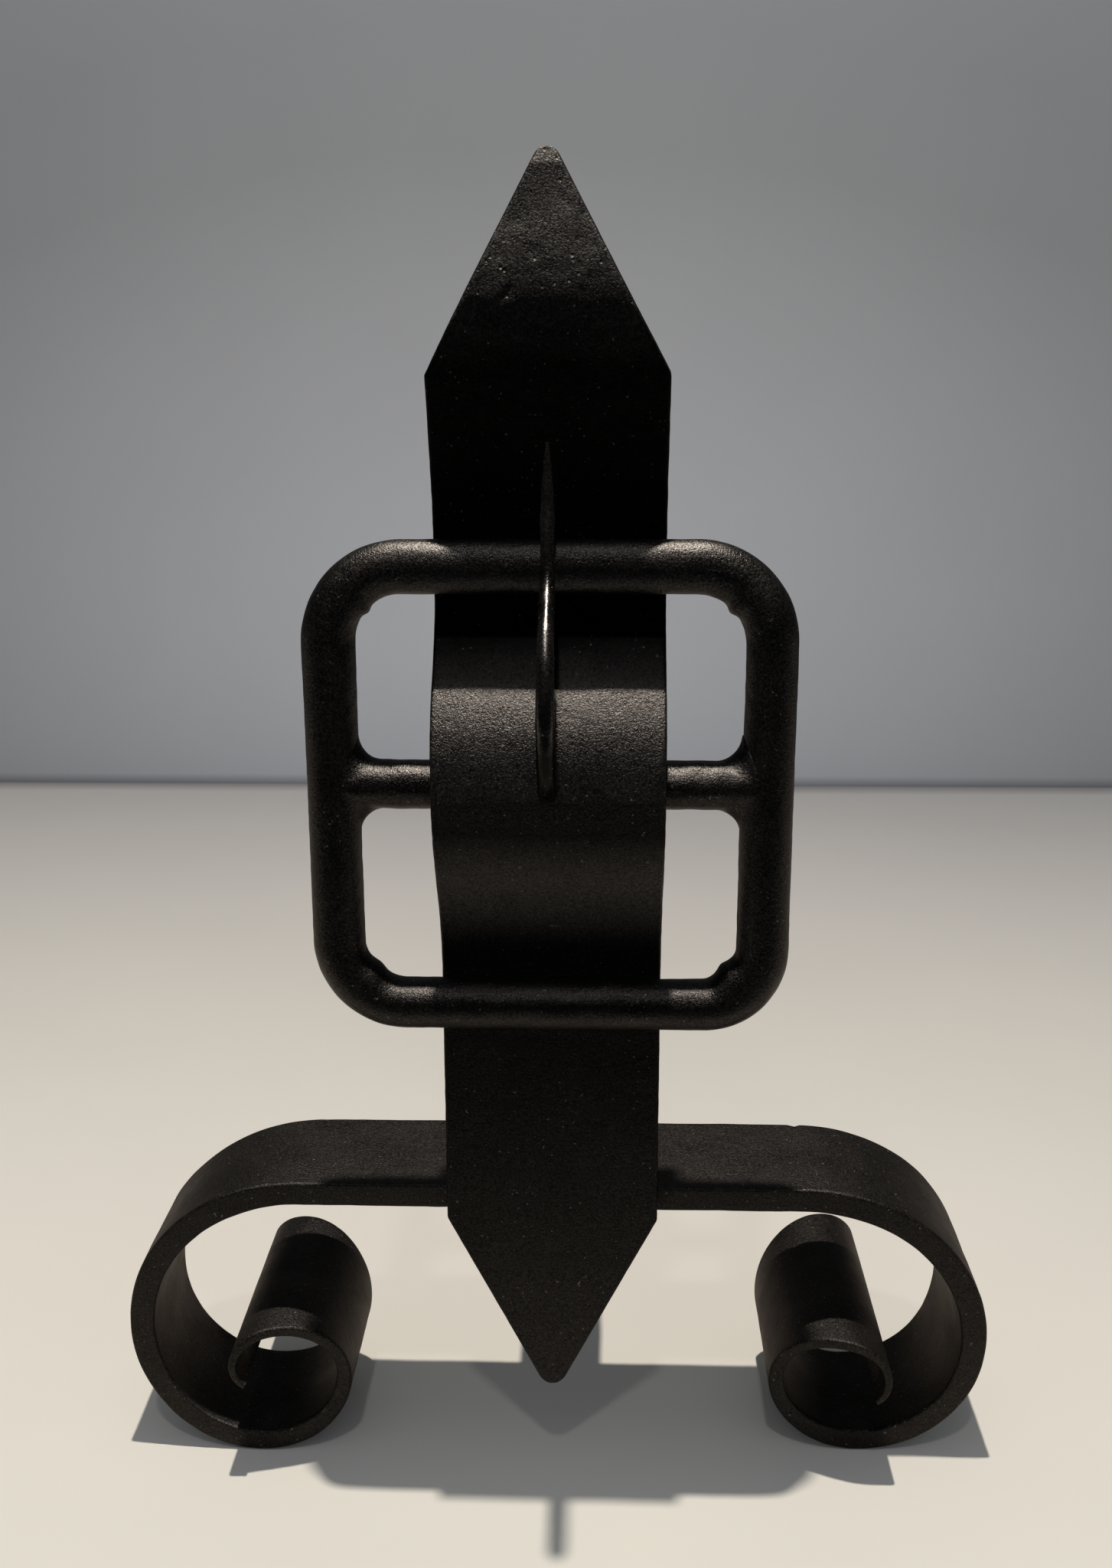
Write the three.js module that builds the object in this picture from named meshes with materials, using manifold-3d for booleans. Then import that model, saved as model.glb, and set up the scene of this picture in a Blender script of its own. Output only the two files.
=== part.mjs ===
// Andiron with a forged belt-and-buckle front, in millimetres, +Z up, standing on z = 0.
// +X runs to the right across the front, and +Y runs from the front back into the hearth.
// A long flat bar, pointed at both ends, is woven through a round-bar buckle like a belt.
// It stands in front of a cross bar whose two ends roll into scroll feet, and a square log bar
// runs back from it and bends down into the rear leg. Everything is held by fillet welds.
import * as THREE from 'three';
import { mergeVertices } from 'three/addons/utils/BufferGeometryUtils.js';
import Module from 'manifold-3d';

// ---------------------------------------------------------------- driving dimensions
const SEAT_GAP = 0.3;               // daylight left between pieces that touch

const STRAP_WIDTH = 60;             // flat bar of the belt
const STRAP_THICKNESS = 5;
const STRAP_TOP = 367.7;            // height of the upper tip
const STRAP_BOTTOM = 31.5;          // height of the lower tip, which hangs clear of the floor
const POINT_HALF_ANGLE = 27.45;     // degrees between a point's centre line and its cut edge
const UPPER_TIP_RADIUS = 5;
const LOWER_TIP_RADIUS = 4.5;
const STRAP_BEVEL = 0.8;            // filed edge all round the strap
const STRAP_STEP = 3.5;             // height between two cross-sections of the strap
const LOWER_TIP_LEAD = 4;           // how far the lower tip stands in front of the strap at the cross bar
const NECK_RISE = 16.3;             // the strap starts to lean forward this far above the buckle's top bar
const UPPER_BEND_DROP = 33.7;       // it is foremost this far below its upper tip, which is bent back again
const NECK_LEAD = 0.8;              // how far the neck stands in front of the strap at the buckle,
const SHOULDER_LEAD = 8.4;          // the same for the upper shoulders,
const UPPER_BEND_LEAD = 10.6;       // for the foremost place
const UPPER_TIP_LEAD = 7.3;         // and for the upper tip
const BULGE_RUN_DOWN = 55;          // height over which the bulge dies out below the centre bar
const BULGE_HEADROOM = 2.3;         // height left between its upper end and the buckle's top bar
const BULGE_FULLNESS = 1.8;         // power of the upper flank: above 1 it stays full, then drops away

const FRAME_BAR = 14;               // round bar of the buckle frame, diameter
const BUCKLE_WIDTH = 127;           // over the outside of the side bars
const BUCKLE_HEIGHT = 131;          // over the outside of the top and bottom bars
const BUCKLE_UPPER_RADIUS = 19.2;   // bend radius of the bar's centre line at the two upper corners,
const BUCKLE_LEFT_RADIUS = 18;      // at the lower left corner
const BUCKLE_RIGHT_RADIUS = 15.5;   // and at the lower right corner
const BUCKLE_LEAN = 2.1;            // degrees that the buckle leans back
const CENTRE_BAR = 13;              // round bar that the tongue hangs from, diameter
const CENTRE_BAR_HEIGHT = 213.5;    // above the floor
const CENTRE_BAR_RISE = 2.2;        // how far it lies above the middle of the frame
const CENTRE_BAR_Y = -5.4;          // its axis, against the cross bar's front face
const CENTRE_BAR_FILLET = 5.5;      // flare where it meets the side bars

const TONGUE_BASE_WIDTH = 5;
const TONGUE_BOW_WIDTH = 4.7;       // where it turns up
const TONGUE_NECK_WIDTH = 4.2;      // in front of the buckle's upper window
const TONGUE_WAIST_WIDTH = 3.6;     // just before its point
const TONGUE_BLADE_WIDTH = 3.8;     // widest place of the dagger point
const TONGUE_POINT_WIDTH = 3;       // halfway out to the tip
const TONGUE_TIP_WIDTH = 0.9;
const TONGUE_BLADE_DEPTH = 2.6;     // the point is flattened front to back
const TONGUE_FOOT_RISE = 1.5;       // how far its foot lies above the centre bar's axis
const TONGUE_REACH = 15.5;          // how far its bow stands in front of the bulge
const TONGUE_BOW_RISE = 24;         // height of the bow's foremost point over its foot
const TONGUE_TIP_RISE = 30.8;       // how far its tip stands above the axis of the buckle's top bar
const TONGUE_HOLE_CLEARANCE = 0.3;  // all round, where it passes through the strap

const CROSS_BAR_DEPTH = 38;         // front to back
const CROSS_BAR_THICKNESS = 7.8;
const CROSS_BAR_TOP = 91.2;         // height of its upper face
const CROSS_BAR_BEVEL = 0.7;
const FOOT_THICKNESS = 7.1;         // drawn down along the scroll: under the foot,
const CURL_THICKNESS = 4.6;         // at the inner side of the curl,
const LIP_THICKNESS = 2.5;          // before the end
const EDGE_THICKNESS = 2;           // and at the end
const SCROLL_STEP = 7.5;            // degrees between two cross-sections of a scroll
const BEND_STEP = 1.5;              // degrees between two points of its worked-out centre line
// The scrolls are rolled by hand, each a little its own way. The rows hold at these turns, in
// degrees: the bend radius, and how far the front and back edges stand out past those of the bar.
const SCROLL_TURNS = [0, 45, 90, 180, 270, 360, 430, 510];
const LEFT_SCROLL = {
  side: -1,
  start: 73.9,                      // straight half-length of the cross bar
  radii: [54.5, 48, 42.2, 30.1, 21.5, 16.6, 8.6, 6],
  frontFlare: [0, 0, 0, 2.9, 2.6, 10, 13, 13.4],
  backFlare: [0, -4, -3, -2.5, 1.2, 10.5, 13.6, 14],
};
const RIGHT_SCROLL = {
  side: 1,
  start: 72.2,
  radii: [59, 49.5, 41.9, 27.6, 22, 15.2, 11.6, 5],
  frontFlare: [0, 0, 0, -2, 0.3, 10.6, 11.6, 11.8],
  backFlare: [0, 1.7, 1.5, 2, 6.5, 17, 21.5, 22],
};

const LOG_BAR = 25;                 // square bar
const LOG_BAR_BEVEL = 1.6;
const LOG_BAR_REACH = 378;          // from the cross bar's front face to the back of the rear leg
const LOG_BAR_BEND = 32;            // bend radius of its centre line over the rear leg
const REAR_FOOT_TAPER = 1.5;        // the foot's edges are hammered in by this much
const REAR_FOOT_TAPER_RUN = 4.5;    // over this height

const WELD_LEG = 5;                 // leg of every fillet weld
const WELD_RIPPLE = 1.6;            // length of one ripple
const WELD_RIPPLE_DEPTH = 0.07;     // share of the leg by which the bead sinks between two ripples
const WELD_BOW = 0.14;              // share of the leg by which the bead's face is sunk or crowned
const WELD_START = 0.55;            // share of the leg that the bead starts with
const WELD_START_RUN = 3;           // length over which it grows to the whole
const WELD_MARGIN = 3;              // how far a bead stops short of an edge

// ---------------------------------------------------------------- worked-out places
const degrees = THREE.MathUtils.degToRad;
const lean = degrees(BUCKLE_LEAN);
const frameRadius = FRAME_BAR / 2;
const centreBarRadius = CENTRE_BAR / 2;
const halfStrap = STRAP_WIDTH / 2;
const barSpacing = BUCKLE_HEIGHT - FRAME_BAR;
const topBarRise = barSpacing / 2 - CENTRE_BAR_RISE;
const bottomBarDrop = barSpacing / 2 + CENTRE_BAR_RISE;
const topBar = {
  y: CENTRE_BAR_Y + topBarRise * Math.sin(lean),
  z: CENTRE_BAR_HEIGHT + topBarRise * Math.cos(lean),
};
const bottomBar = {
  y: CENTRE_BAR_Y - bottomBarDrop * Math.sin(lean),
  z: CENTRE_BAR_HEIGHT - bottomBarDrop * Math.cos(lean),
};
const crossBarMiddle = CROSS_BAR_TOP - CROSS_BAR_THICKNESS / 2;
const strapAtCrossBar = -SEAT_GAP - STRAP_THICKNESS;
const strapAtTopBar = topBar.y + frameRadius + SEAT_GAP;
const strapAtBottomBar = bottomBar.y + frameRadius + SEAT_GAP;
const bulgeCrown = CENTRE_BAR_Y - centreBarRadius - SEAT_GAP - STRAP_THICKNESS;
const logBarUnderside = CROSS_BAR_TOP + SEAT_GAP;
const logBarMiddle = logBarUnderside + LOG_BAR / 2;

// ---------------------------------------------------------------- geometry helpers
// A closed body facing outwards from shared vertices and triangles.
function closedBody(vertices, triangles) {
  let volume = 0;
  for (const [a, b, c] of triangles) {
    const normal = new THREE.Vector3().crossVectors(vertices[b], vertices[c]);
    volume += vertices[a].dot(normal);
  }
  const outward = volume > 0 ? triangles : triangles.map(([a, b, c]) => [a, c, b]);
  const geometry = new THREE.BufferGeometry();
  const positions = vertices.flatMap((vertex) => vertex.toArray());
  geometry.setAttribute('position', new THREE.Float32BufferAttribute(positions, 3));
  geometry.setIndex(outward.flat());
  geometry.computeVertexNormals();
  return geometry;
}

// Two triangles for each side of the band between two outlines of equal count.
function band(first, second, count) {
  const triangles = [];
  for (let i = 0; i < count; i += 1) {
    const next = (i + 1) % count;
    triangles.push([first + i, first + next, second + next]);
    triangles.push([first + i, second + next, second + i]);
  }
  return triangles;
}

// A skin over a row of convex outlines; the ends are capped, or joined to each other for a ring.
function loft(outlines, ring = false) {
  const count = outlines[0].length;
  const last = outlines.length - 1;
  const triangles = [];
  for (let row = 0; row < last; row += 1) {
    triangles.push(...band(row * count, (row + 1) * count, count));
  }
  if (ring) {
    triangles.push(...band(last * count, 0, count));
  } else {
    for (let i = 1; i < count - 1; i += 1) {
      triangles.push([0, i + 1, i]);
      triangles.push([last * count, last * count + i, last * count + i + 1]);
    }
  }
  return closedBody(outlines.flat(), triangles);
}

// Points of a flat outline, placed at a spot: u along one axis and v along the other.
function place(outline, spot, axisU, axisV) {
  return outline.map(([u, v]) => spot.clone().addScaledVector(axisU, u).addScaledVector(axisV, v));
}

// A rectangle from u0 to u1 and v0 to v1 with its four corners bevelled.
function bevelled(u0, u1, v0, v1, bevel) {
  const most = 0.3;
  const b = Math.min(bevel, (u1 - u0) * most, (v1 - v0) * most);
  return [
    [u0 + b, v0], [u1 - b, v0], [u1, v0 + b], [u1, v1 - b],
    [u1 - b, v1], [u0 + b, v1], [u0, v1 - b], [u0, v0 + b],
  ];
}

// An ellipse of half-axes a and b.
function ellipse(a, b, sides) {
  return Array.from({ length: sides }, (unused, i) => {
    const angle = (2 * Math.PI * i) / sides;
    return [a * Math.cos(angle), b * Math.sin(angle)];
  });
}

// Evenly spaced values from start to end, both included, no further apart than the step.
function steps(start, end, step) {
  const count = Math.max(1, Math.ceil(Math.abs(end - start) / step));
  return Array.from({ length: count + 1 }, (unused, i) => start + ((end - start) * i) / count);
}

// Value at x on the smooth curve through knots [x, value]: a cubic between each two knots whose
// slope at a knot is that between its neighbours.
function smoothThrough(knots, x) {
  const last = knots.length - 1;
  const slope = (i) => {
    const [x0, v0] = knots[Math.max(i - 1, 0)];
    const [x1, v1] = knots[Math.min(i + 1, last)];
    return (v1 - v0) / (x1 - x0);
  };
  let i = 0;
  while (i < last - 1 && x > knots[i + 1][0]) i += 1;
  const [x0, v0] = knots[i];
  const [x1, v1] = knots[i + 1];
  const run = x1 - x0;
  const t = (x - x0) / run;
  const start = v0 * (1 + 2 * t) * (1 - t) ** 2 + run * slope(i) * t * (1 - t) ** 2;
  const end = v1 * t * t * (3 - 2 * t) + run * slope(i + 1) * t * t * (t - 1);
  return start + end;
}

// Value at x on the straight lines through knots [x, value].
function linesThrough(knots, x) {
  const i = Math.max(1, knots.findIndex(([at], index) => at >= x || index === knots.length - 1));
  const [x0, v0] = knots[i - 1];
  const [x1, v1] = knots[i];
  return v0 + (v1 - v0) * THREE.MathUtils.clamp((x - x0) / (x1 - x0), 0, 1);
}

const wasm = await Module();
wasm.setup();

// Cuts the second body out of the first.
function cut(geometry, tool) {
  const solids = [geometry, tool].map((body) => {
    const bare = body.clone();
    bare.deleteAttribute('normal');
    bare.deleteAttribute('uv');
    const merged = mergeVertices(bare);
    return new wasm.Manifold(new wasm.Mesh({
      numProp: 3,
      vertProperties: new Float32Array(merged.attributes.position.array),
      triVerts: new Uint32Array(merged.index.array),
    }));
  });
  const mesh = solids[0].subtract(solids[1]).getMesh();
  const result = new THREE.BufferGeometry();
  result.setAttribute('position', new THREE.BufferAttribute(mesh.vertProperties, 3));
  result.setIndex(new THREE.BufferAttribute(mesh.triVerts, 1));
  result.computeVertexNormals();
  return result;
}

// ---------------------------------------------------------------- finishes
const andiron = new THREE.Group();
andiron.name = 'andiron';

// Blackened wrought iron, a little lighter where it has been worked or rubbed.
function iron(colour, roughness) {
  return new THREE.MeshStandardMaterial({ color: colour, roughness, metalness: 0.85 });
}

function addPiece(parent, name, geometry, material) {
  const piece = new THREE.Mesh(geometry, material);
  piece.name = name;
  parent.add(piece);
  return piece;
}

// ---------------------------------------------------------------- strap
// Line of the strap's front face without its bulge: height to Y.
const strapLine = [
  [STRAP_BOTTOM, strapAtCrossBar - LOWER_TIP_LEAD],
  [CROSS_BAR_TOP, strapAtCrossBar],
  [bottomBar.z, strapAtBottomBar],
  [topBar.z, strapAtTopBar],
  [topBar.z + NECK_RISE, strapAtTopBar - NECK_LEAD],
  [STRAP_TOP - pointHeight(UPPER_TIP_RADIUS), strapAtTopBar - SHOULDER_LEAD],
  [STRAP_TOP - UPPER_BEND_DROP, strapAtTopBar - UPPER_BEND_LEAD],
  [STRAP_TOP, strapAtTopBar - UPPER_TIP_LEAD],
];

// The bulge is half a cosine wave up and half a cosine wave down, with its crown at the centre bar.
// Its upper flank is the fuller one.
const bulgeRunUp = topBar.z - frameRadius - BULGE_HEADROOM - CENTRE_BAR_HEIGHT;

function bulge(z) {
  const upward = z > CENTRE_BAR_HEIGHT;
  const away = Math.abs(z - CENTRE_BAR_HEIGHT) / (upward ? bulgeRunUp : BULGE_RUN_DOWN);
  const share = upward ? Math.min(away, 1) ** BULGE_FULLNESS : Math.min(away, 1);
  const depth = smoothThrough(strapLine, CENTRE_BAR_HEIGHT) - bulgeCrown;
  return (depth * (1 + Math.cos(Math.PI * share))) / 2;
}

function strapFront(z) {
  return smoothThrough(strapLine, z) - bulge(z);
}

// How fast the strap's front face leans back with height.
function strapSlope(z) {
  const reach = 0.5;
  return (strapFront(z + reach) - strapFront(z - reach)) / (2 * reach);
}

// Unit vector out of the strap's front face at a height.
function strapNormal(z) {
  return new THREE.Vector3(0, -1, strapSlope(z)).normalize();
}

// Y of the strap's back face at a height.
function strapBack(z) {
  return strapFront(z) + STRAP_THICKNESS * Math.hypot(1, strapSlope(z));
}

// Height of a point from its rounded tip to its shoulders.
function pointHeight(tipRadius) {
  const angle = degrees(POINT_HALF_ANGLE);
  return halfStrap / Math.tan(angle) - tipRadius / Math.sin(angle) + tipRadius;
}

// Half-width of the strap at a distance from a tip: an arc, then the cut edge, then the full bar.
function pointHalfWidth(distance, tipRadius) {
  const angle = degrees(POINT_HALF_ANGLE);
  if (distance < tipRadius * (1 - Math.sin(angle))) {
    return Math.sqrt(2 * tipRadius * distance - distance ** 2);
  }
  const overhang = tipRadius / Math.sin(angle) - tipRadius;
  return Math.min(halfStrap, (distance + overhang) * Math.tan(angle));
}

// Distances from a tip at which a cross-section is wanted: close together round the arc.
function tipDistances(tipRadius) {
  const arcStart = 14;
  const arcEnd = 90 - POINT_HALF_ANGLE;
  const arcStep = 8;
  const arc = steps(arcStart, arcEnd, arcStep).map((angle) => tipRadius * (1 - Math.cos(degrees(angle))));
  const edge = steps(arc[arc.length - 1], pointHeight(tipRadius), STRAP_STEP);
  return [...arc, ...edge.slice(1)];
}

function strapOutline(z) {
  const lower = pointHalfWidth(z - STRAP_BOTTOM, LOWER_TIP_RADIUS);
  const half = Math.min(lower, pointHalfWidth(STRAP_TOP - z, UPPER_TIP_RADIUS));
  const normal = strapNormal(z);
  const spot = new THREE.Vector3(0, strapFront(z), z);
  const outline = bevelled(-half, half, -STRAP_THICKNESS, 0, STRAP_BEVEL);
  return place(outline, spot, new THREE.Vector3(1, 0, 0), normal);
}

function makeStrap() {
  const lower = tipDistances(LOWER_TIP_RADIUS).map((distance) => STRAP_BOTTOM + distance);
  const upper = tipDistances(UPPER_TIP_RADIUS).map((distance) => STRAP_TOP - distance).reverse();
  const middle = steps(lower[lower.length - 1], upper[0], STRAP_STEP).slice(1, -1);
  return loft([...lower, ...middle, ...upper].map(strapOutline));
}

// ---------------------------------------------------------------- tongue
// The foot comes through a hole in the strap's crown and is set on the centre bar.
const tongueFootHeight = CENTRE_BAR_HEIGHT + TONGUE_FOOT_RISE;
const tongueFootY = CENTRE_BAR_Y - centreBarRadius - SEAT_GAP;
const tongueOverTopBar = topBar.y - frameRadius - SEAT_GAP - TONGUE_NECK_WIDTH / 2;

// The bow from the foot to its foremost point, in shares of its reach and of its rise.
const tongueBow = [[0.34, 0.07], [0.66, 0.3], [1, 1]];
const tongueBowPoints = tongueBow.map(([reach, rise]) => {
  return new THREE.Vector3(0, bulgeCrown - TONGUE_REACH * reach, tongueFootHeight + TONGUE_BOW_RISE * rise);
});

// From there it leans back, lies against the front of the top bar and follows it over. Each row is
// the Y of a point and its height above the axis of that bar.
const tongueBack = [
  [bulgeCrown - 0.8 * TONGUE_REACH, -2.3 * frameRadius],
  [tongueOverTopBar - 1, -0.3 * frameRadius],
  [tongueOverTopBar + 1.7, 1.6 * frameRadius],
  [tongueOverTopBar + 4.4, TONGUE_TIP_RISE],
];
const tongueBackPoints = tongueBack.map(([y, rise]) => new THREE.Vector3(0, y, topBar.z + rise));
const tongueRoute = new THREE.CatmullRomCurve3([
  new THREE.Vector3(0, tongueFootY, tongueFootHeight),
  new THREE.Vector3(0, bulgeCrown - 1, tongueFootHeight),
  ...tongueBowPoints,
  ...tongueBackPoints,
], false, 'centripetal');

// Width and depth at shares of the route.
const tongueWidths = [[0, TONGUE_BASE_WIDTH], [0.35, TONGUE_BOW_WIDTH], [0.6, TONGUE_NECK_WIDTH],
  [0.74, TONGUE_WAIST_WIDTH], [0.82, TONGUE_BLADE_WIDTH], [0.9, TONGUE_POINT_WIDTH], [1, TONGUE_TIP_WIDTH]];
const tongueDepths = [[0, TONGUE_BASE_WIDTH], [0.35, TONGUE_BOW_WIDTH], [0.6, TONGUE_NECK_WIDTH],
  [0.74, TONGUE_WAIST_WIDTH], [0.82, TONGUE_BLADE_DEPTH], [1, TONGUE_TIP_WIDTH]];

function makeTongue() {
  const sides = 16;
  const stations = steps(0, 1, 0.022);
  const across = new THREE.Vector3(1, 0, 0);
  return loft(stations.map((share) => {
    const along = share === 0 ? new THREE.Vector3(0, -1, 0) : tongueRoute.getTangentAt(share);
    const outward = new THREE.Vector3().crossVectors(across, along);
    const halfWidth = linesThrough(tongueWidths, share) / 2;
    const outline = ellipse(halfWidth, linesThrough(tongueDepths, share) / 2, sides);
    return place(outline, tongueRoute.getPointAt(share), across, outward);
  }));
}

// The drill for the hole that lets the tongue through the strap.
function tongueHole() {
  const sides = 24;
  const radius = TONGUE_BASE_WIDTH / 2 + TONGUE_HOLE_CLEARANCE;
  const drill = new THREE.CylinderGeometry(radius, radius, STRAP_THICKNESS * 3, sides);
  drill.translate(0, bulgeCrown + STRAP_THICKNESS / 2, tongueFootHeight);
  return drill;
}

// ---------------------------------------------------------------- buckle
// Drawn upright in its own plane, with the centre bar's axis on X and the frame round it.
const sideBarX = (BUCKLE_WIDTH - FRAME_BAR) / 2;

// Centre-line corners of the frame: X, Z, bend radius and the heading that leads into the bend.
const frameCorners = [
  { x: sideBarX, z: topBarRise, radius: BUCKLE_UPPER_RADIUS, start: 0 },
  { x: -sideBarX, z: topBarRise, radius: BUCKLE_UPPER_RADIUS, start: 90 },
  { x: -sideBarX, z: -bottomBarDrop, radius: BUCKLE_LEFT_RADIUS, start: 180 },
  { x: sideBarX, z: -bottomBarDrop, radius: BUCKLE_RIGHT_RADIUS, start: 270 },
];

function makeBuckleFrame() {
  const sides = 20;
  const cornerStep = 11.25;
  const outlines = [];
  const depth = new THREE.Vector3(0, 1, 0);
  for (const corner of frameCorners) {
    const centreX = corner.x - Math.sign(corner.x) * corner.radius;
    const centreZ = corner.z - Math.sign(corner.z) * corner.radius;
    for (const angle of steps(corner.start, corner.start + 90, cornerStep)) {
      const outward = new THREE.Vector3(Math.cos(degrees(angle)), 0, Math.sin(degrees(angle)));
      const spot = new THREE.Vector3(centreX, 0, centreZ).addScaledVector(outward, corner.radius);
      outlines.push(place(ellipse(frameRadius, frameRadius, sides), spot, outward, depth));
    }
  }
  return loft(outlines, true);
}

// A round bar along X that flares upwards and downwards in a quarter round before each side bar,
// with its ends hollowed to sit against them.
function makeCentreBar() {
  const sides = 24;
  const seatSides = 40;
  const flareStart = sideBarX - frameRadius - CENTRE_BAR_FILLET;
  const flareEnd = 75;
  const flare = steps(0, flareEnd, flareEnd / 5).map((angle) => [
    flareStart + CENTRE_BAR_FILLET * Math.sin(degrees(angle)),
    centreBarRadius + CENTRE_BAR_FILLET * (1 - Math.cos(degrees(angle))),
  ]);
  const rightHalf = [...flare, [sideBarX, flare[flare.length - 1][1]]];
  const leftHalf = rightHalf.map(([x, reach]) => [-x, reach]).reverse();
  const depth = new THREE.Vector3(0, 1, 0);
  const up = new THREE.Vector3(0, 0, 1);
  const bar = loft([...leftHalf, ...rightHalf].map(([x, reach]) => {
    return place(ellipse(centreBarRadius, reach, sides), new THREE.Vector3(x, 0, 0), depth, up);
  }));
  const seatRadius = frameRadius + SEAT_GAP;
  return [-1, 1].reduce((body, side) => {
    const seat = new THREE.CylinderGeometry(seatRadius, seatRadius, BUCKLE_HEIGHT, seatSides);
    seat.rotateX(Math.PI / 2);
    seat.translate(side * sideBarX, 0, 0);
    return cut(body, seat);
  }, bar);
}

// ---------------------------------------------------------------- cross bar with scroll feet
const scrollDrop = CROSS_BAR_TOP - (CROSS_BAR_THICKNESS + FOOT_THICKNESS) / 2;
const scrollEnd = SCROLL_TURNS[SCROLL_TURNS.length - 1];
const thicknessByTurn = [[0, CROSS_BAR_THICKNESS], [90, CROSS_BAR_THICKNESS], [180, FOOT_THICKNESS],
  [270, CURL_THICKNESS], [430, LIP_THICKNESS], [scrollEnd, EDGE_THICKNESS]];

// Value at a turn from a row that holds at SCROLL_TURNS.
function atTurn(row, turn, curve) {
  return curve(SCROLL_TURNS.map((knot, i) => [knot, row[i]]), turn);
}

// Centre line of a scroll from the end of the straight bar, as its small steps added up. The
// radii are scaled together so that the half turn comes down onto the floor.
function scrollRoute(radii) {
  const logs = radii.map((radius) => Math.log(radius));
  const route = [{ turn: 0, out: 0, down: 0 }];
  for (const turn of steps(0, scrollEnd, BEND_STEP).slice(1)) {
    const last = route[route.length - 1];
    const middle = (last.turn + turn) / 2;
    const length = Math.exp(atTurn(logs, middle, linesThrough)) * degrees(turn - last.turn);
    const out = last.out + length * Math.cos(degrees(middle));
    const down = last.down + length * Math.sin(degrees(middle));
    route.push({ turn, out, down });
  }
  const half = route.find((point) => point.turn >= 180);
  const scale = scrollDrop / half.down;
  return route.map(({ turn, out, down }) => ({ turn, out: out * scale, down: down * scale }));
}

// Cross-section of the bar at a point of a scroll's centre line.
function scrollOutline(scroll, { turn, out, down }) {
  const angle = degrees(turn);
  const normal = new THREE.Vector3(scroll.side * Math.sin(angle), 0, Math.cos(angle));
  const spot = new THREE.Vector3(scroll.side * (scroll.start + out), 0, crossBarMiddle - down);
  const half = linesThrough(thicknessByTurn, turn) / 2;
  const front = -atTurn(scroll.frontFlare, turn, smoothThrough);
  const back = CROSS_BAR_DEPTH + atTurn(scroll.backFlare, turn, smoothThrough);
  return place(bevelled(front, back, -half, half, CROSS_BAR_BEVEL), spot, new THREE.Vector3(0, 1, 0), normal);
}

function scrollOutlines(scroll) {
  const every = Math.round(SCROLL_STEP / BEND_STEP);
  const route = scrollRoute(scroll.radii).filter((point, i) => i % every === 0);
  return route.map((point) => scrollOutline(scroll, point));
}

function makeCrossBar() {
  return loft([...scrollOutlines(LEFT_SCROLL).reverse(), ...scrollOutlines(RIGHT_SCROLL)]);
}

// ---------------------------------------------------------------- log bar with the rear leg
const legMiddleY = LOG_BAR_REACH - LOG_BAR / 2;

function makeLogBar() {
  const half = LOG_BAR / 2;
  const across = new THREE.Vector3(1, 0, 0);
  const section = (y, z, angle, taper) => {
    const upward = new THREE.Vector3(0, Math.sin(degrees(angle)), Math.cos(degrees(angle)));
    const outline = bevelled(-half + taper, half - taper, -half + taper, half - taper, LOG_BAR_BEVEL);
    return place(outline, new THREE.Vector3(0, y, z), across, upward);
  };
  const bendY = legMiddleY - LOG_BAR_BEND;
  const bendZ = logBarMiddle - LOG_BAR_BEND;
  const bendStep = 9;
  const bend = steps(0, 90, bendStep).map((angle) => {
    const y = bendY + LOG_BAR_BEND * Math.sin(degrees(angle));
    const z = bendZ + LOG_BAR_BEND * Math.cos(degrees(angle));
    return section(y, z, angle, 0);
  });
  const start = section(0, logBarMiddle, 0, 0).map((point) => point.setY(strapBack(point.z) + SEAT_GAP));
  const foot = [section(legMiddleY, REAR_FOOT_TAPER_RUN, 90, 0), section(legMiddleY, 0, 90, REAR_FOOT_TAPER)];
  return loft([start, ...bend, ...foot]);
}

// ---------------------------------------------------------------- welds
// A rippled fillet from one point to another in the corner between two faces; wallA and wallB are
// the directions in which the two faces run away from the corner.
function makeWeld(from, to, wallA, wallB) {
  const along = new THREE.Vector3().subVectors(to, from);
  const length = along.length();
  along.normalize();
  const outlines = steps(0, length, WELD_RIPPLE / 4).map((distance) => {
    const ripple = 1 - WELD_RIPPLE_DEPTH * (1 - Math.abs(Math.cos((Math.PI * distance) / WELD_RIPPLE)));
    const end = Math.min(distance, length - distance) / WELD_START_RUN;
    const swell = WELD_START + (1 - WELD_START) * Math.sqrt(Math.min(end, 1));
    const face = steps(0, 90, 30).map((angle) => {
      const bow = 1 - WELD_BOW * (1 - Math.abs(Math.cos(degrees(2 * angle))));
      const reach = WELD_LEG * ripple * swell * bow;
      return [SEAT_GAP + reach * Math.cos(degrees(angle)), SEAT_GAP + reach * Math.sin(degrees(angle))];
    });
    const outline = [[SEAT_GAP, SEAT_GAP], ...face];
    return place(outline, from.clone().addScaledVector(along, distance), wallA, wallB);
  });
  return loft(outlines);
}

// Corner point of the strap's back face at a height.
function againstStrap(x, z) {
  return new THREE.Vector3(x, strapBack(z), z);
}

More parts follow.
